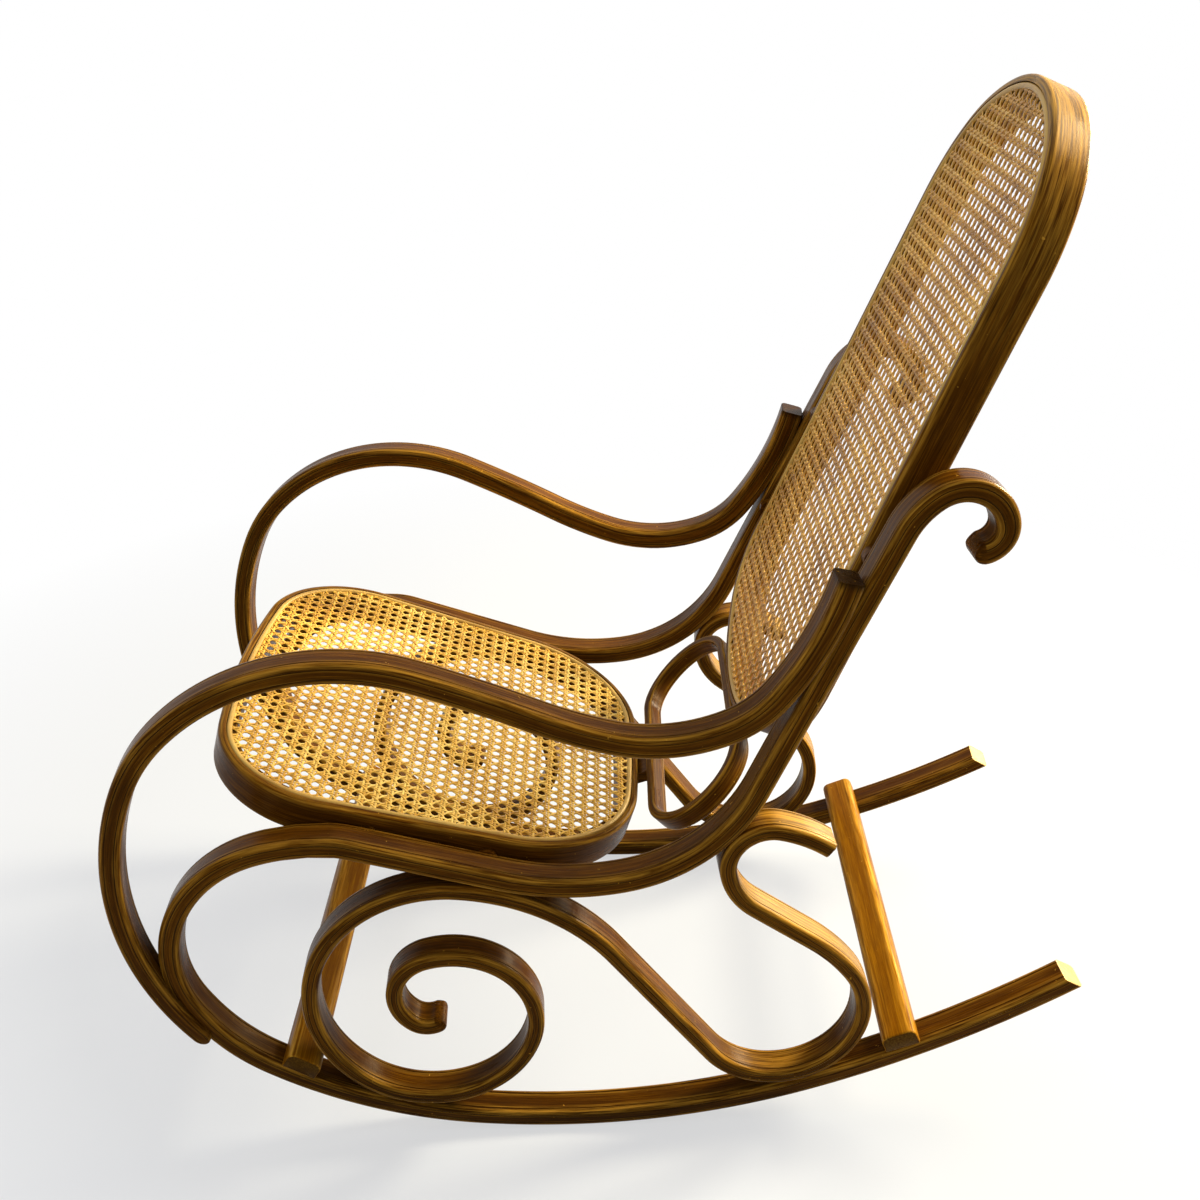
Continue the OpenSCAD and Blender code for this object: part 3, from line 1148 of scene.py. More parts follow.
ROCKER_BENDS: Bends = ((1220, -14.5), (830, -27), (510, -27), (215, -25), (9, 0), (140, -102.5))
SCARF_BENDS: Bends = ((210, -14.5), (210, -7.5))
RAIL_BENDS: Bends = (
    (87, -12), (157, 0), (270, 27), (179, 56.5), (294, 0), (79, -30.5), (42, -113), (23, -87))
FRAME_LINE = BendSchedule((514.5, 195, -146.5), ROCKER_BENDS + SCARF_BENDS + RAIL_BENDS)
ARM_LINE = BendSchedule((219, 677.5, -103.5), (
    (335, -23), (108, -31.5), (174, -38.5), (480, -9), (1690, 4), (230, 67), (190, 19),
    (325, 59.5)))
SPIRAL_BENDS: Bends = (
    (24, -65.5), (49, -124.5), (90, -122.5), (114, -48.5), (116, -67.5), (147, -144),
    (235, -47), (179, 0))
TAIL_BENDS: Bends = ((92, 179.5), (205, 18), (79, 0), (74, -44), (43, -114), (145, -22.5))
SCROLL_LINE = BendSchedule((-184, 160, -153.5), SPIRAL_BENDS + TAIL_BENDS)
CUT_ROWS = 2


def facing(places: Array, direction: Triple) -> Array:
    """How squarely the points of a grid face a direction.

    Args:
        places: points, rows by columns by three.
        direction: unit direction.

    Returns:
        Rows by columns: the cosine of the angle, and 0 for faces turned away.
    """
    around = np.roll(places, -1, axis=1) - np.roll(places, 1, axis=1)
    normal = np.cross(np.gradient(places, axis=0), around)
    length = np.linalg.norm(normal, axis=-1)
    return np.clip(normal @ np.array(direction) / np.maximum(length, TINY), 0, 1)


@dataclass
class SideFrame:
    """One side of the chair: rocker rod, seat rail with its upright and curl, arm and scroll.

    Attributes:
        side: left or right.
        planes: planes of the side frames.
        finishes: the chair's materials.
        rod: section of the rocker and of the seat rail.
        arm: section of the arm.
        scroll: section of the scroll.
        spacing: how close the rows of the rods lie.
        scarf_length: length of the scarf joint between rocker and seat rail.
        scarf_clear: distance from the scarf to the next row.
        arm_taper: scales of the arm's thickness at its butt and at its tip.
        taper_power: how the arm's taper is spread; below 1 it comes early.
        painted_sunlight: wear that paints sunlight on the scroll's faces behind its spiral.
        sunlit_side: direction that the faces with painted sunlight look in.
        sunlight_ramp: length over which the painted sunlight sets in.
        bare_sunlit_end: wear of the rocker's cut rear end, painted pale both as bare wood and as
            sunlight on that face.
        rear_slant: slant of that end, from the top of the rod to its underside.
        slant_clear: distance from the slanted end to the next row.
    """

    side: Side
    planes: FramePlanes
    finishes: Finishes
    rod: RodProfile = RodProfile(22.0, 36.0)
    arm: RodProfile = RodProfile(24.0, 33.0)
    scroll: RodProfile = RodProfile(18.0, 38.0)
    spacing: Spacing = Spacing()
    scarf_length: float = 50.0
    scarf_clear: float = 2.0
    arm_taper: Span = (1.06, 0.84)
    taper_power: float = 0.8
    painted_sunlight: float = 1.3
    sunlit_side: Triple = (0.6, 0.0, 0.8)
    sunlight_ramp: float = 150.0
    bare_sunlit_end: float = 4.0
    rear_slant: float = 11.0
    slant_clear: float = 3.0

    def build(self) -> None:
        """Builds the four rods of this side."""
        self.build_rocker()
        self.build_rail()
        self.build_arm()
        self.build_scroll()

    def add(self, piece: str, grid: Grid) -> None:
        """Makes one rod of this side and lets it stand for its solid.

        Args:
            piece: name of the rod, without its side.
            grid: its surface on the left side.
        """
        node = f"{piece}_{self.side.name.lower()}"
        obj = solid_from_grid(f"{node}_rod", grid, self.side)
        finish_piece(obj, Slot.BENTWOOD, self.finishes.bentwood, node)

    def scarf_place(self) -> float:
        """Distance along the frame rod to the middle of the scarf."""
        return float(FRAME_LINE.ends()[len(ROCKER_BENDS) + 1])

    def scarf_cut(self) -> Array:
        """Distances along the frame rod to the slanted cut, round the section."""
        return self.scarf_place() + self.rod.section().out * self.scarf_length / self.rod.thickness

    def build_rocker(self) -> None:
        """Rocker rod: slanting rear end, front loop, and the lower half of the scarf."""
        s = FRAME_LINE.samples(self.spacing)
        s = s[s < self.scarf_place() - self.scarf_length / 2 - self.scarf_clear]
        section, cut = self.rod.section(), self.scarf_cut()
        body, out, across = Ends(EndForm.CUT, EndForm.CUT, self.rod.thickness / 2).extend(s)
        clear = (body > self.rear_slant + self.slant_clear) | (np.arange(len(body)) < CUT_ROWS)
        body, out, across = body[clear], out[clear], across[clear]
        rows = body[:-CUT_ROWS, None] + 0 * cut
        rows[:CUT_ROWS] += self.rear_slant * (0.5 - section.out / self.rod.thickness)
        rows = np.concatenate((rows, (rows[-1] + cut)[None] / 2, cut[None]))
        out[-CUT_ROWS:] = across[-CUT_ROWS:] = 1.0
        grid = carry(FRAME_LINE, self.planes.side(), section, rows, out, across)
        # The cut rear end is painted pale, as bare wood and as sunlight on that end face.
        grid.wear[0], grid.groove[0] = self.bare_sunlit_end, 0.0
        self.add("rocker", grid)

    def build_rail(self) -> None:
        """Seat rail, upright and curl: the upper half of the scarf, and a round end."""
        s = FRAME_LINE.samples(self.spacing)
        s = s[s > self.scarf_place() + self.scarf_length / 2 + self.scarf_clear]
        cut = self.scarf_cut()
        ends = Ends(EndForm.CUT, EndForm.ROUND, self.rod.thickness / 2)
        body, out, across = ends.extend(s)
        rows = body[CUT_ROWS:, None] + 0 * cut
        rows = np.concatenate((cut[None], (rows[0] + cut)[None] / 2, rows))
        out[:CUT_ROWS] = across[:CUT_ROWS] = 1.0
        grid = carry(FRAME_LINE, self.planes.side(), self.rod.section(), rows, out, across)
        grid.wear[-ends.rows:], grid.groove[-ends.rows:] = 0.0, 0.0
        self.add("seat_rail", grid)

    def build_arm(self) -> None:
        """Arm: thicker at its butt on the upright, thinner towards its round tip."""
        s = ARM_LINE.samples(self.spacing)
        body, out, across = Ends(EndForm.CUT, EndForm.ROUND, self.arm.thickness / 2).extend(s)
        part = np.clip(body / ARM_LINE.ends()[-1], 0, 1) ** self.taper_power
        taper = self.arm_taper[0] + (self.arm_taper[1] - self.arm_taper[0]) * part
        grid = carry(ARM_LINE, self.planes.arm(), self.arm.section(), body, out * taper, across)
        grid.groove[:CUT_ROWS] = 1.0
        self.add("arm", grid)

    def build_scroll(self) -> None:
        """Scroll: round eye, spiral, and an S with painted sunlight on its faces and a square-cut
        free end.
        """
        s = SCROLL_LINE.samples(self.spacing)
        ends = Ends(EndForm.ROUND, EndForm.CUT, self.scroll.thickness / 2)
        body, out, across = ends.extend(s)
        section = self.scroll.section()
        grid = carry(SCROLL_LINE, self.planes.side(), section, body, out, across)
        grid.wear[:ends.rows], grid.groove[:ends.rows] = 0.0, 0.0
        spiral = SCROLL_LINE.ends()[len(SPIRAL_BENDS)]
        # Painted sunlight: past the spiral, faces turned towards the lamps get wear past 1, so pale
        # streaks and the bare colour.
        past = np.clip((body - spiral) / self.sunlight_ramp, 0, 1)[:, None]
        painted_sunlight = self.painted_sunlight * past * facing(grid.places, self.sunlit_side)
        grid.wear = np.maximum(grid.wear, painted_sunlight)
        grid.groove[-1] = 1.0
        self.add("scroll", grid)


# ---- Seat and back ----


def whole_ring(start: Triple, half: Bends) -> BendSchedule:
    """Schedule once round a ring.

    Args:
        start: along, up and heading at the middle of its first end.
        half: its half outline, without the bend that closes it.

    Returns:
        The schedule; the last bend of each half ends on the ring's middle line.
    """
    end = BendSchedule(start, half).poses()[-1]
    closing = (-end[0] / math.sin(end[2]), -180 - math.degrees(end[2]))
    full = half + (closing,)
    return BendSchedule(start, full + full[::-1])


SEAT_OUTLINE = whole_ring((0, 232, 0), ((1450, -3), (154, -82.5), (195, 0), (119, -88)))
BACK_OUTLINE = whole_ring((0, 0, 0), ((205, -32), (140, -55), (415, 0), (96, -63)))
SEAT_PLACE = (-185.2, 397.0, 106.6)
BACK_PLACE = (383.0, 1066.4, 21.2)
LOOP_PLACE = (138.8, 428.8, 45.0)
STRAND_ACROSS = np.array([-0.5, -0.24, 0.24, 0.5, 0.0])
STRAND_UP = np.array([-0.15, 0.5, 0.5, -0.15, -0.5])
LINES_EACH_WAY = 60
GRAIN_APART = 97.0


class Family(Enum):
    """Families of strands: up the panel, across it, and its two diagonals."""

    WARP = "warp"
    WEFT = "weft"
    RISING = "rising"
    FALLING = "falling"

    def paired(self) -> bool:
        """True for the strands that lie in pairs."""
        return self in (Family.WARP, Family.WEFT)

    def direction(self) -> Array:
        """Unit direction of the strands in the panel, as (across, along)."""
        flat = dict(zip(Family, ((0, 1), (1, 0), (1, 1), (1, -1))))[self]
        return np.array(flat) / math.hypot(*flat)


@dataclass(frozen=True)
class WeavePattern:
    """Six-way cane: pairs both ways, and two diagonals that cross between the pairs.

    Attributes:
        pitch: distance between the pairs.
        pair: half the distance between the two strands of a pair.
        strand: width of a strand.
        diagonal: width of a diagonal strand.
        thickness: thickness of a strand.
        pair_wave: how far the strands of the pairs rise and fall.
        diagonal_wave: how far the diagonals rise and fall.
        steps: points along each pitch.
        shortest: length of the shortest strand, in pitches.
        drift: most that a strand lies off its line.
        wander: how far a strand wanders on its way.
        wander_length: length of that wandering, for each radian.
        sag: how far the middle of the panel has sunk.
        sag_reach: square of the distance from the middle at which the panel is flat again.
        sag_power: how sharply it sinks.
    """

    pitch: float = 13.9
    pair: float = 1.75
    strand: float = 2.7
    diagonal: float = 2.8
    thickness: float = 0.62
    pair_wave: float = 0.5
    diagonal_wave: float = 0.85
    steps: int = 6
    shortest: float = 0.4
    drift: float = 0.22
    wander: float = 0.18
    wander_length: float = 41.0
    sag: float = 2.0
    sag_reach: float = 1.2
    sag_power: float = 1.5

    def wave(self, family: Family, across: Array, along: Array, second: Array) -> Array:
        """Height of the strands where they weave.

        The two strands of a pair swap sides of each pair they cross, as sines a half period
        apart. A diagonal is over one pair and under the other, as a cosine.

        Args:
            family: the family of strands.
            across: place across the panel.
            along: place along the panel.
            second: 1 for the second strand of a pair, 0 for the first.

        Returns:
            Heights above the panel's middle.
        """
        turn, swap = 2 * math.pi / self.pitch, 1 - 2 * second
        if family is Family.WARP:
            return -self.pair_wave * swap * np.sin(turn * along)
        if family is Family.WEFT:
            return self.pair_wave * swap * np.sin(turn * across)
        lift = self.diagonal_wave if family is Family.RISING else -self.diagonal_wave
        return lift * np.cos(turn * across)

    def offsets(self, family: Family) -> tuple[Array, Array]:
        """Lines of one family.

        Args:
            family: the family of strands.

        Returns:
            Distance of each line to the left of the panel's middle, and 1 for the second
            strand of a pair.
        """
        index = np.arange(-LINES_EACH_WAY, LINES_EACH_WAY + 1)
        if not family.paired():
            return (index + 0.5) * self.pitch / math.sqrt(2), np.zeros(len(index), int)
        second = np.tile([0, 1], len(index))
        apart = np.repeat(index * self.pitch, 2) + (2 * second - 1) * self.pair
        return -apart if family is Family.WARP else apart, second


@dataclass
class CanePanel:
    """Woven panel inside a ring, built strand by strand.

    Attributes:
        name: name of the panel.
        node: the solid that it stands for.
        line: outline of the ring.
        plane: plane of the ring; its along is across the chair, its up runs along the panel.
        weave: the pattern.
        inset: distance from the ring's outside to where the strands end.
        drop: distance of the weave's middle below the ring's face.
        spacing: how close the points of the rim lie.
        seed: seed of the small irregularities.
    """

    name: str
    node: str
    line: BendSchedule
    plane: Plane
    weave: WeavePattern
    inset: float = 13.6
    drop: float = 1.9
    spacing: Spacing = Spacing(6.0, 4.0)
    seed: int = 4

    def rim(self) -> Array:
        """Points of the line on which the strands end, as rows of (across, along)."""
        along, up, q = self.line.at(self.line.samples(self.spacing))
        return np.column_stack((along + self.inset * np.sin(q), up - self.inset * np.cos(q)))

    def spans(self, direction: Array, offsets: Array) -> tuple[Array, Array]:
        """Where straight lines enter and leave the rim.

        A line has the points p with normal . p = offset. Each rim edge that straddles it gives
        one crossing, and the span runs from the first crossing to the last.

        Args:
            direction: unit direction of the lines.
            offsets: one number per line.

        Returns:
            First and last distance along the direction; equal where a line misses the rim.
        """
        rim = self.rim()
        side = rim @ left_of(direction) - offsets[:, None]
        reach = rim @ direction + 0 * side
        a, b = side[:, :-1], side[:, 1:]
        crosses = a * b < 0
        t = np.where(crosses, a / np.where(crosses, a - b, 1), 0)
        at = reach[:, :-1] + t * (reach[:, 1:] - reach[:, :-1])
        first = np.where(crosses, at, np.inf).min(axis=1)
        last = np.where(crosses, at, -np.inf).max(axis=1)
        missed = ~np.isfinite(first)
        return np.where(missed, 0, first), np.where(missed, 0, last)

    def sunk(self, across: Array, along: Array) -> Array:
        """How far the panel has sunk: sag * (1 - r^2 / reach)^power, with r = 1 at the rim's box.

        Args:
            across: place across the panel.
            along: place along the panel.

        Returns:
            Depths below the flat panel.
        """
        rim, w = self.rim(), self.weave
        low, high = rim.min(axis=0), rim.max(axis=0)
        x = (2 * across - low[0] - high[0]) / (high[0] - low[0])
        y = (2 * along - low[1] - high[1]) / (high[1] - low[1])
        return w.sag * np.clip(1 - (x ** 2 + y ** 2) / w.sag_reach, 0, 1) ** w.sag_power

    def strands(self, family: Family) -> Object:
        """Builds one family as a single mesh.

        Each strand has a low domed section of five points. Distances along all the strands lie on
        one lattice, held at each strand's two ends, and only the pieces between them are kept.

        Args:
            family: the family of strands.

        Returns:
            The object, at the origin.
        """
        w, direction = self.weave, family.direction()
        offsets, second = w.offsets(family)
        first, last = self.spans(direction, offsets)
        keep = last - first > w.pitch * w.shortest
        offsets, second = offsets[keep][:, None], second[keep][:, None]
        first, last = first[keep][:, None], last[keep][:, None]
        rng = np.random.default_rng(self.seed + list(Family).index(family))
        tone = rng.uniform(0, 1, len(offsets))
        drift = rng.uniform(-w.drift, w.drift, offsets.shape)
        phase = rng.uniform(0, 2 * math.pi, offsets.shape)
        step = w.pitch / w.steps * (1 if family.paired() else math.sqrt(2))
        lattice = np.arange(math.floor(first.min() / step), math.ceil(last.max() / step) + 1) * step
        t = np.clip(lattice, first, last)
        used = (lattice[1:] > first) & (lattice[:-1] < last)
        normal = left_of(direction)
        wander = drift + w.wander * np.sin(t / w.wander_length + phase)
        centre = t[..., None] * direction + (offsets + wander)[..., None] * normal
        across, along = centre[..., 0], centre[..., 1]
        height = w.wave(family, across, along, second) - self.sunk(across, along)
        u = STRAND_ACROSS * (w.strand if family.paired() else w.diagonal)
        v = STRAND_UP * w.thickness
        places = self.plane.place(
            across[..., None] + u * normal[0],
            height[..., None] + v - self.drop,
            along[..., None] + u * normal[1],
        )
        grain = t[..., None] + GRAIN_APART * np.arange(len(offsets))[:, None, None]
        grain = np.stack(np.broadcast_arrays(grain, u, v), axis=-1) * MM
        return self.joined(family, places, grain, tone, used)

    def joined(
        self, family: Family, places: Array, grain: Array, tone: Array, used: Array
    ) -> Object:
        """Joins the strands of a family into one mesh, each closed at its ends.

        Args:
            family: the family of strands.
            places: points in metres, strands by steps by points round the strand by three.
            grain: grain coordinates, the same shape.
            tone: tone of each strand.
            used: True for the steps that are kept, strands by steps.

        Returns:
            The object, at the origin.
        """
        lines, count, ring = places.shape[:3]
        line, k = np.nonzero(used)
        j, base = np.arange(ring), np.arange(lines) * count
        here, after = (line * count + k)[:, None] * ring, (j + 1) % ring
        quads = np.stack((here + j, here + after, here + ring + after, here + ring + j), axis=-1)
        start = (base + used.argmax(axis=1))[:, None] * ring + j[::-1]
        stop = (base + count - 1 - used[:, ::-1].argmax(axis=1))[:, None] * ring + j
        loops = np.concatenate((quads.ravel(), start.ravel(), stop.ravel()))
        totals = np.concatenate((np.full(len(quads) * ring, 4), np.full(2 * lines, ring)))
        kept, inverse = np.unique(loops, return_inverse=True)
        name = f"{self.name}_{family.value}"
        mesh = mesh_from_faces(name, places.reshape(-1, 3)[kept], inverse, totals)
        tones = np.repeat(tone, count * ring)[loops]
        add_corner_data(mesh, grain.reshape(-1, 3)[loops], tones, 0 * tones)
        mesh.shade_smooth()
        return link(name, mesh)

    def build(self, material: Material) -> None:
        """Builds the four families; the first stands for the panel's solid.

        Args:
            material: finish of the strands.
        """
        for family in Family:
            nodes = (self.node,) if family is Family.WARP else ()
            finish_piece(self.strands(family), Slot.CANE, material, *nodes)


@dataclass
class CanedRing:
    """A bent ring with its grooved face, the strip in the groove and the woven panel.

    Attributes:
        name: seat or back.
        line: outline of the ring's outside.
        plane: plane of its face.
        finishes: the chair's materials.
        cane: finish of the woven panel.
        weave: pattern of the woven panel.
        seed: seed of the panel's irregularities.
        top_sunlight: how strongly sunlight is painted on the highest part of the ring, through its
            wear.
        top_sunlight_from: height where that painted sunlight starts, as a part of the ring's
            height.
        top_sunlight_full: height where it is full.
        profile: section of the ring.
        spacing: how close the rows lie.
        strip_gap: gap between the strip and each side of its groove.
        strip_crown: how far the strip's crown is raised over a half circle.
        strip_foot: depth of the strip's underside.
        strip_points: points over the strip's crown.
        strip_tone: tone of the strip's edges, and how much paler its crown is.
    """

    name: str
    line: BendSchedule
    plane: Plane
    finishes: Finishes
    cane: Material
    weave: WeavePattern
    seed: int = 4
    top_sunlight: float = 0.0
    top_sunlight_from: float = 0.65
    top_sunlight_full: float = 2.95 / 3
    profile: RingProfile = RingProfile()
    spacing: Spacing = Spacing(9.0, 3.0)
    strip_gap: float = 0.25
    strip_crown: float = 0.5
    strip_foot: float = 5.7
    strip_points: int = 11
    strip_tone: Span = (0.55, 0.3)

    def strip_section(self) -> Section:
        """Strip that holds the cane: flat below, crowned above the ring's face.

        Returns:
            The section, in the ring's own out and across.
        """
        half = self.profile.groove_width / 2 - self.strip_gap
        middle = -self.profile.edge - self.profile.groove_width / 2
        a = np.radians(np.linspace(0, 180, self.strip_points))
        crown = -half + (half + self.strip_crown) * np.sin(a)
        tone = self.strip_tone[0] + self.strip_tone[1] * np.sin(a)
        top = np.column_stack((middle + half * np.cos(a), crown, tone, 0 * a))
        foot = -self.strip_foot
        return as_section(top, points((middle - half, foot, 0, 0), (middle + half, foot, 0, 0)))

    def build(self) -> None:
        """Builds the ring, its strip and its cane."""
        s = self.line.samples(self.spacing)
        grid = carry_round(self.line, self.plane, self.profile.section(), s)
        # Painted sunlight: the highest part of the ring gets wear past 1, paler towards the top.
        height = grid.places[..., 2] - grid.places[..., 2].min()
        part = (height / height.max() - self.top_sunlight_from) / (self.top_sunlight_full - self.top_sunlight_from)
        grid.wear = np.maximum(grid.wear, self.top_sunlight * np.clip(part, 0, 1))
        ring = solid_from_grid(f"{self.name}_ring_rod", grid)
        finish_piece(ring, Slot.BENTWOOD, self.finishes.bentwood, f"{self.name}_ring")
        strip = carry_round(self.line, self.plane, self.strip_section(), s)
        strip = solid_from_grid(f"{self.name}_strip_cane", strip)
        finish_piece(strip, Slot.STRIP, self.finishes.strip, f"{self.name}_strip")
        names = f"{self.name}_weave", f"{self.name}_cane"
        CanePanel(*names, self.line, self.plane, self.weave, seed=self.seed).build(self.cane)


@dataclass
class BackLoop:
    """Flat loop of thin bent wood below the back.

    Attributes:
        planes: planes of the side frames.
        finishes: the chair's materials.
        length: length over its outside.
        end_radius: outside radius of its two ends.
        profile: section of the band.
        spacing: how close the rows lie.
    """

    planes: FramePlanes
    finishes: Finishes
    length: float = 336.0
    end_radius: float = 67.0
    profile: RodProfile = RodProfile(11.0, 22.0, 2.75, 0.8, 0.25, quirk_inset=0.9)
    spacing: Spacing = Spacing()

    def build(self) -> None:
        """Carries the band's rounded section once round the loop."""
        run, end = self.length / 2 - self.end_radius, (self.end_radius, -180)
        line = BendSchedule((0, 0, 0), ((run, 0), end, (2 * run, 0), end, (run, 0)))
        flat = self.profile.section()
        out, across = flat.out - self.profile.thickness / 2, flat.across - self.profile.width / 2
        section = replace(flat, out=out, across=across)
        s = line.samples(self.spacing)
        obj = solid_from_grid(
            "back_loop_band", carry_round(line, self.planes.ring(*LOOP_PLACE), section, s))
        finish_piece(obj, Slot.BENTWOOD, self.finishes.bentwood, "back_loop")


@dataclass
class Stretcher:
    """Flat-bottomed rail with rounded upper edges that joins the two rockers.

    Attributes:
        node: the solid that it stands for.
        bend: bend of the rocker rod that carries it.
        part: where along that bend it stands.
        planes: the side frames' planes.
        finishes: the chair's materials.
        width: size from front to rear.
        height: size from its underside to its top.
        round: radius of its upper edges.
        low_round: radius of its lower edges.
        edge_points: points round each corner of the section, from the upper front one.
        face_points: points on the face that follows each corner.
        lap: how deep it is let into the rockers.
        rod_thickness: thickness of the rockers.
        end_short: how far each end stands back from the solid's.
        end_round: radius of the softened ends.
        end_rows: rows over each softened end.
        rows: rows between the ends.
    """

    node: str
    bend: int
    part: float
    planes: FramePlanes
    finishes: Finishes
    width: float = 40.0
    height: float = 22.0
    round: float = 9.0
    low_round: float = 1.2
    edge_points: tuple[int, ...] = (9, 4, 4, 9)
    face_points: tuple[int, ...] = (2, 4, 2, 3)
    lap: float = 1.0
    rod_thickness: float = 22.0
    end_short: float = 0.4
    end_round: float = 2.5
    end_rows: int = 4
    rows: int = 38

    def section(self) -> Section:
        """Upper corners of a large radius, lower corners barely broken.

        Returns:
            The section; its out points up and its across to the front.
        """
        radii = (self.round, self.low_round, self.low_round, self.round)
        arcs = box_corners((self.height / 2, self.width / 2), radii, self.edge_points)
        rows = []
        for k, (arc, count) in enumerate(zip(arcs, self.face_points)):
            rows += [arc, straight_run(arc[-1, :2], arcs[(k + 1) % 4][0, :2], count)]
        return as_section(*rows)

    def middle(self) -> tuple[Array, float]:
        """Place of the rail's middle on the rocker.

        Returns:
            Its point in millimetres, and the rocker's heading there in radians.
        """
        length = FRAME_LINE.lengths()[self.bend]
        along, up, q = FRAME_LINE.at(FRAME_LINE.ends()[self.bend] + length * self.part)
        rise, planes = (self.rod_thickness + self.height) / 2 - self.lap, self.planes
        x = (along + rise * math.sin(q)) * math.cos(math.radians(planes.splay)) - LENGTH_MIDDLE
        z = (up - rise * math.cos(q)) * math.cos(math.radians(planes.lean)) - planes.floor_height
        return np.array([x, 0.0, z]), float(q)

    def build(self) -> None:
        """Carries the section straight across the chair, with softened ends.

        A point is middle + distance * Y + out * normal + across * tangent. Towards each end the
        section shrinks as a quarter circle.
        """
        middle, q = self.middle()
        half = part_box(self.node)[1][1] / MM - self.end_short
        a = np.radians(np.linspace(0, 90, self.end_rows + 1))[:-1]
        end = half - self.end_round * (1 - np.sin(a))
        body = np.linspace(-half, half, self.rows + 2)[1:-1]
        distances = np.concatenate((-end[::-1], body, end))[:, None]
        inset = self.end_round * (1 - np.cos(a))
        shrink = np.concatenate((inset[::-1], 0 * body, inset))[:, None]
        section = self.section()
        out = section.out * (1 - 2 * shrink / self.height)
        across = section.across * (1 - 2 * shrink / self.width)
        normal = np.array([math.sin(q), 0.0, -math.cos(q)])
        tangent = np.array([math.cos(q), 0.0, math.sin(q)])
        places = middle + distances[..., None] * np.array([0.0, 1.0, 0.0])
        places = (places + out[..., None] * normal + across[..., None] * tangent) * MM
        grain = np.stack(np.broadcast_arrays(distances, out, across), axis=-1) * MM
        spread = np.ones(distances.shape)
        grid = Grid(places, grain, section.wear * spread, section.groove * spread)
        grid.groove[[0, -1]] = 1.0
        obj = solid_from_grid(f"{self.node}_rail", grid)
        finish_piece(obj, Slot.STRETCHER, self.finishes.stretcher, self.node)


# ---- Studio ----


@dataclass(frozen=True)
class Lamp:
    """Round area lamp that faces the chair.

    Attributes:
        name: name of the lamp.
        place: where it hangs, in metres.
        size: diameter in metres.
        power: power in watts.
        colour: colour of its light.
        mirrored: False for a lamp that gives no gloss.
        aim: point that it faces.
    """

    name: str
    place: Triple
    size: float
    power: float
    colour: Colour
    mirrored: bool = True
    aim: Triple = (0.0, 0.0, 0.45)

    def build(self) -> None:
        """Adds the lamp; it is turned from straight down to its aim."""
        data = bpy.data.lights.new(self.name, "AREA")
        data.shape, data.size, data.energy, data.color = "DISK", self.size, self.power, self.colour
        x, y, z = (to - at for to, at in zip(self.aim, self.place))
        tilt, heading = math.atan2(math.hypot(x, y), -z), math.atan2(y, x)
        lamp = link(self.name, data)
        lamp.location = self.place
        lamp.visible_glossy = self.mirrored
        lamp.rotation_euler = (tilt, 0.0, heading - math.pi / 2)


LAMPS = (
    Lamp("window_light", (2.6, 1.1, 1.9), 0.8, 215.0, (1.0, 0.90, 0.66)),
    Lamp("high_light", (2.1, 0.8, 2.7), 1.5, 120.0, (1.0, 0.86, 0.58)),
    Lamp("side_light", (2.3, 2.2, 1.15), 1.0, 80.0, (1.0, 0.90, 0.68)),
    Lamp("sky_light", (-0.8, 0.2, 3.4), 3.4, 42.0, (0.97, 0.98, 1.0), mirrored=False),
    Lamp("front_fill", (-1.6, -2.8, 1.6), 2.2, 15.0, (1.0, 0.96, 0.90), mirrored=False),
)


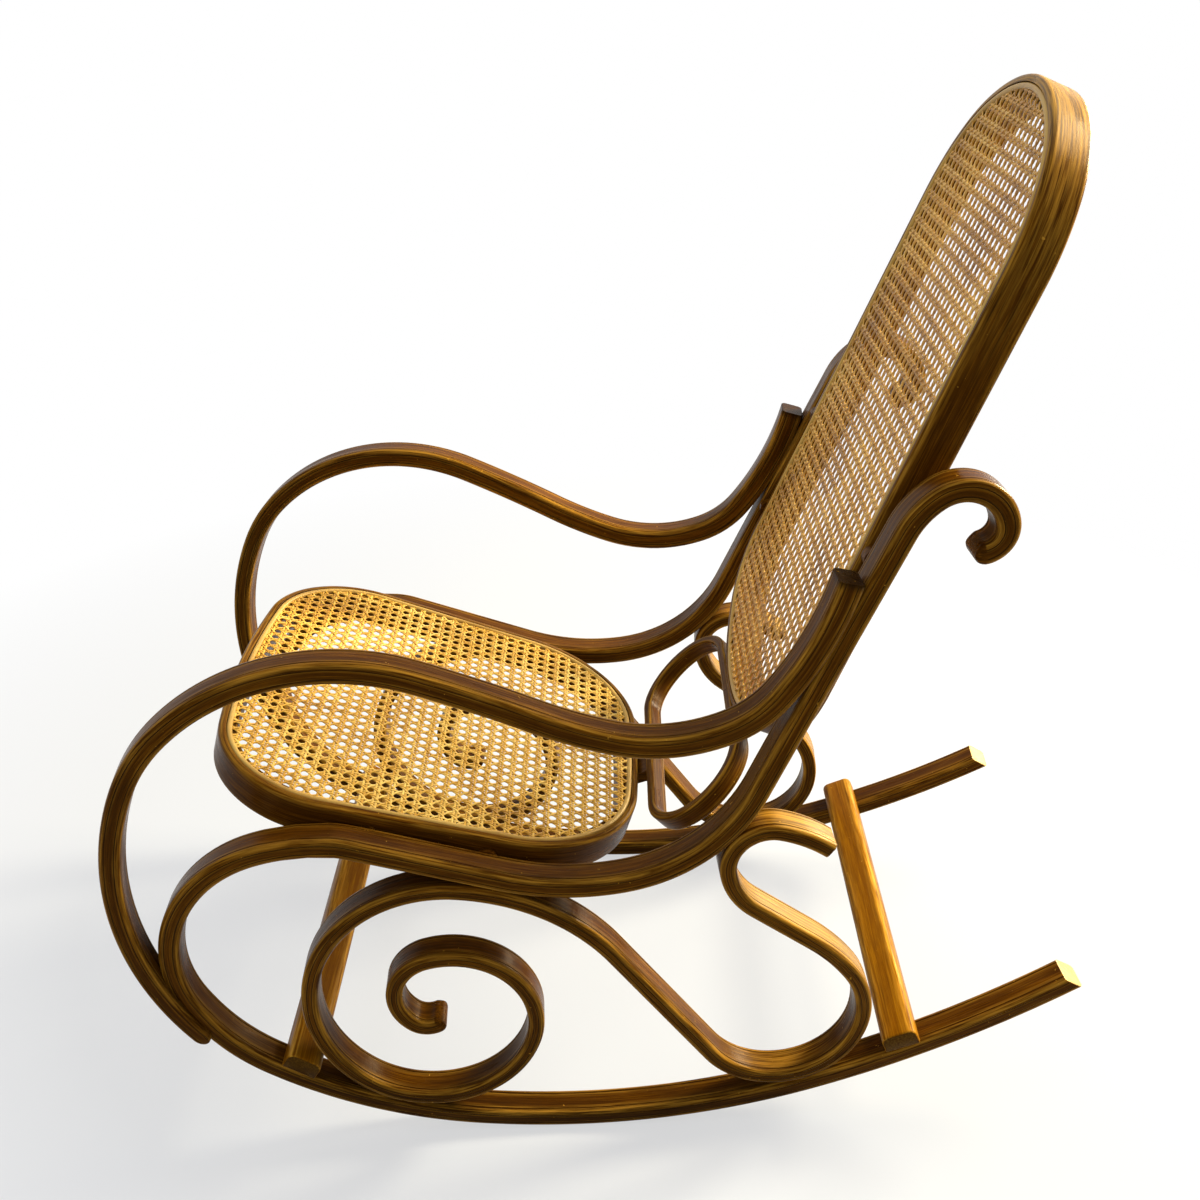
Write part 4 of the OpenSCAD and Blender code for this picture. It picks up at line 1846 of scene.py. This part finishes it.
@dataclass(frozen=True)
class Studio:
    """Camera, soft lights and a plain pale floor.

    Attributes:
        camera_place: where the camera stands, in metres.
        camera_turn: its rotation in degrees.
        lens: its focal length.
        sensor: width of its sensor.
        shift_y: how far the picture is shifted up.
        world_colour: colour of the even light.
        world: strength of the even light.
        floor_half: half the floor's width in metres.
        floor_colour: paint of the floor.
        floor_glow: how much of the white shows on the floor under the chair.
        shade_middle: middle of the area where the floor keeps its shadow, in metres.
        shade_reach: distances over which the floor turns white.
    """

    camera_place: Triple = (-0.0082, -1.3354, 1.2128)
    camera_turn: Triple = (58.04, 0.0, 0.395)
    lens: float = 40.5
    sensor: float = 36.0
    shift_y: float = 0.1
    world_colour: Colour = (0.96, 0.98, 1.0)
    world: float = 0.34
    floor_half: float = 40.0
    floor_colour: Colour = (0.4092, 0.4312, 0.4752)
    floor_glow: float = 0.6
    shade_middle: Triple = (0.0, 0.25, 0.0)
    shade_reach: Span = (0.75, 1.5)

    def build(self) -> None:
        """Sets the camera, the world, the lamps, the floor and how colours are shown."""
        self.add_camera()
        self.add_world()
        for lamp in LAMPS:
            lamp.build()
        self.add_floor()
        bpy.context.scene.view_settings.view_transform = "Standard"

    def add_camera(self) -> None:
        """Camera at the height and distance from which the chair is seen."""
        data = bpy.data.cameras.new("camera")
        data.lens, data.sensor_width, data.shift_y = self.lens, self.sensor, self.shift_y
        camera = link("camera", data)
        camera.location = self.camera_place
        camera.rotation_euler = tuple(math.radians(a) for a in self.camera_turn)
        bpy.context.scene.camera = camera

    def add_world(self) -> None:
        """Even light from all round, seen as white by the camera and in reflections."""
        bpy.context.scene.world = bpy.data.worlds.new("studio")
        n = Nodes(bpy.context.scene.world)
        colour = (*self.world_colour, 1.0)
        light = n.add("ShaderNodeBackground", Color=colour, Strength=self.world)
        white = n.add("ShaderNodeBackground", Color=WHITE, Strength=1.0)
        n.finish(n.either(n.seen(), light, white))

    def add_floor(self) -> None:
        """White floor that keeps the chair's soft shadow."""
        r = self.floor_half
        places = np.array([(-r, -r, 0), (r, -r, 0), (r, r, 0), (-r, r, 0)], float)
        floor = link("floor", mesh_from_faces("floor", places, np.arange(4), np.array([4])))
        n = Nodes(bpy.data.materials.new("floor"))
        away = {"i0": n.where(), "i1": self.shade_middle}
        away = n.add("ShaderNodeVectorMath", p_operation="DISTANCE", **away).outputs["Value"]
        share = n.span(away, self.shade_reach, (self.floor_glow, 1.0))
        paint = n.add("ShaderNodeBsdfDiffuse", Color=(*self.floor_colour, 1.0))
        glow = n.add("ShaderNodeEmission", Color=WHITE, Strength=1.0)
        mix = n.either(n.maths("MULTIPLY", n.seen(), share), paint, glow)
        floor.data.materials.append(n.finish(mix))


# ---- The chair ----


def dress_solids(finishes: Finishes) -> None:
    """Gives the small solids that stay as they are a wood finish.

    Args:
        finishes: the chair's materials.
    """
    for name in ("seat_spacers", "back_spacers", "loop_wedge"):
        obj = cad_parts[name]
        obj.data.materials.clear()
        obj.data.materials.append(finishes.plain_wood)
        LOG.info("%s: kept, with a wood finish", name)


def main() -> None:
    """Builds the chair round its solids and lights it."""
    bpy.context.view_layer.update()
    planes = FramePlanes()
    finishes = Finishes.made()
    for side in Side:
        SideFrame(side, planes, finishes).build()
    seat = planes.ring(*SEAT_PLACE), finishes, finishes.seat_cane, WeavePattern()
    back = planes.ring(*BACK_PLACE), finishes, finishes.back_cane, WeavePattern(sag=1.5)
    CanedRing("seat", SEAT_OUTLINE, *seat).build()
    # The back ring's highest part carries painted sunlight.
    CanedRing("back", BACK_OUTLINE, *back, seed=40, top_sunlight=1.22).build()
    BackLoop(planes, finishes).build()
    Stretcher("front_stretcher", 2, 0.88, planes, finishes).build()
    Stretcher("rear_stretcher", 0, 0.66, planes, finishes).build()
    dress_solids(finishes)
    Studio().build()
    bpy.context.view_layer.update()


if __name__ == "__main__":
    main()
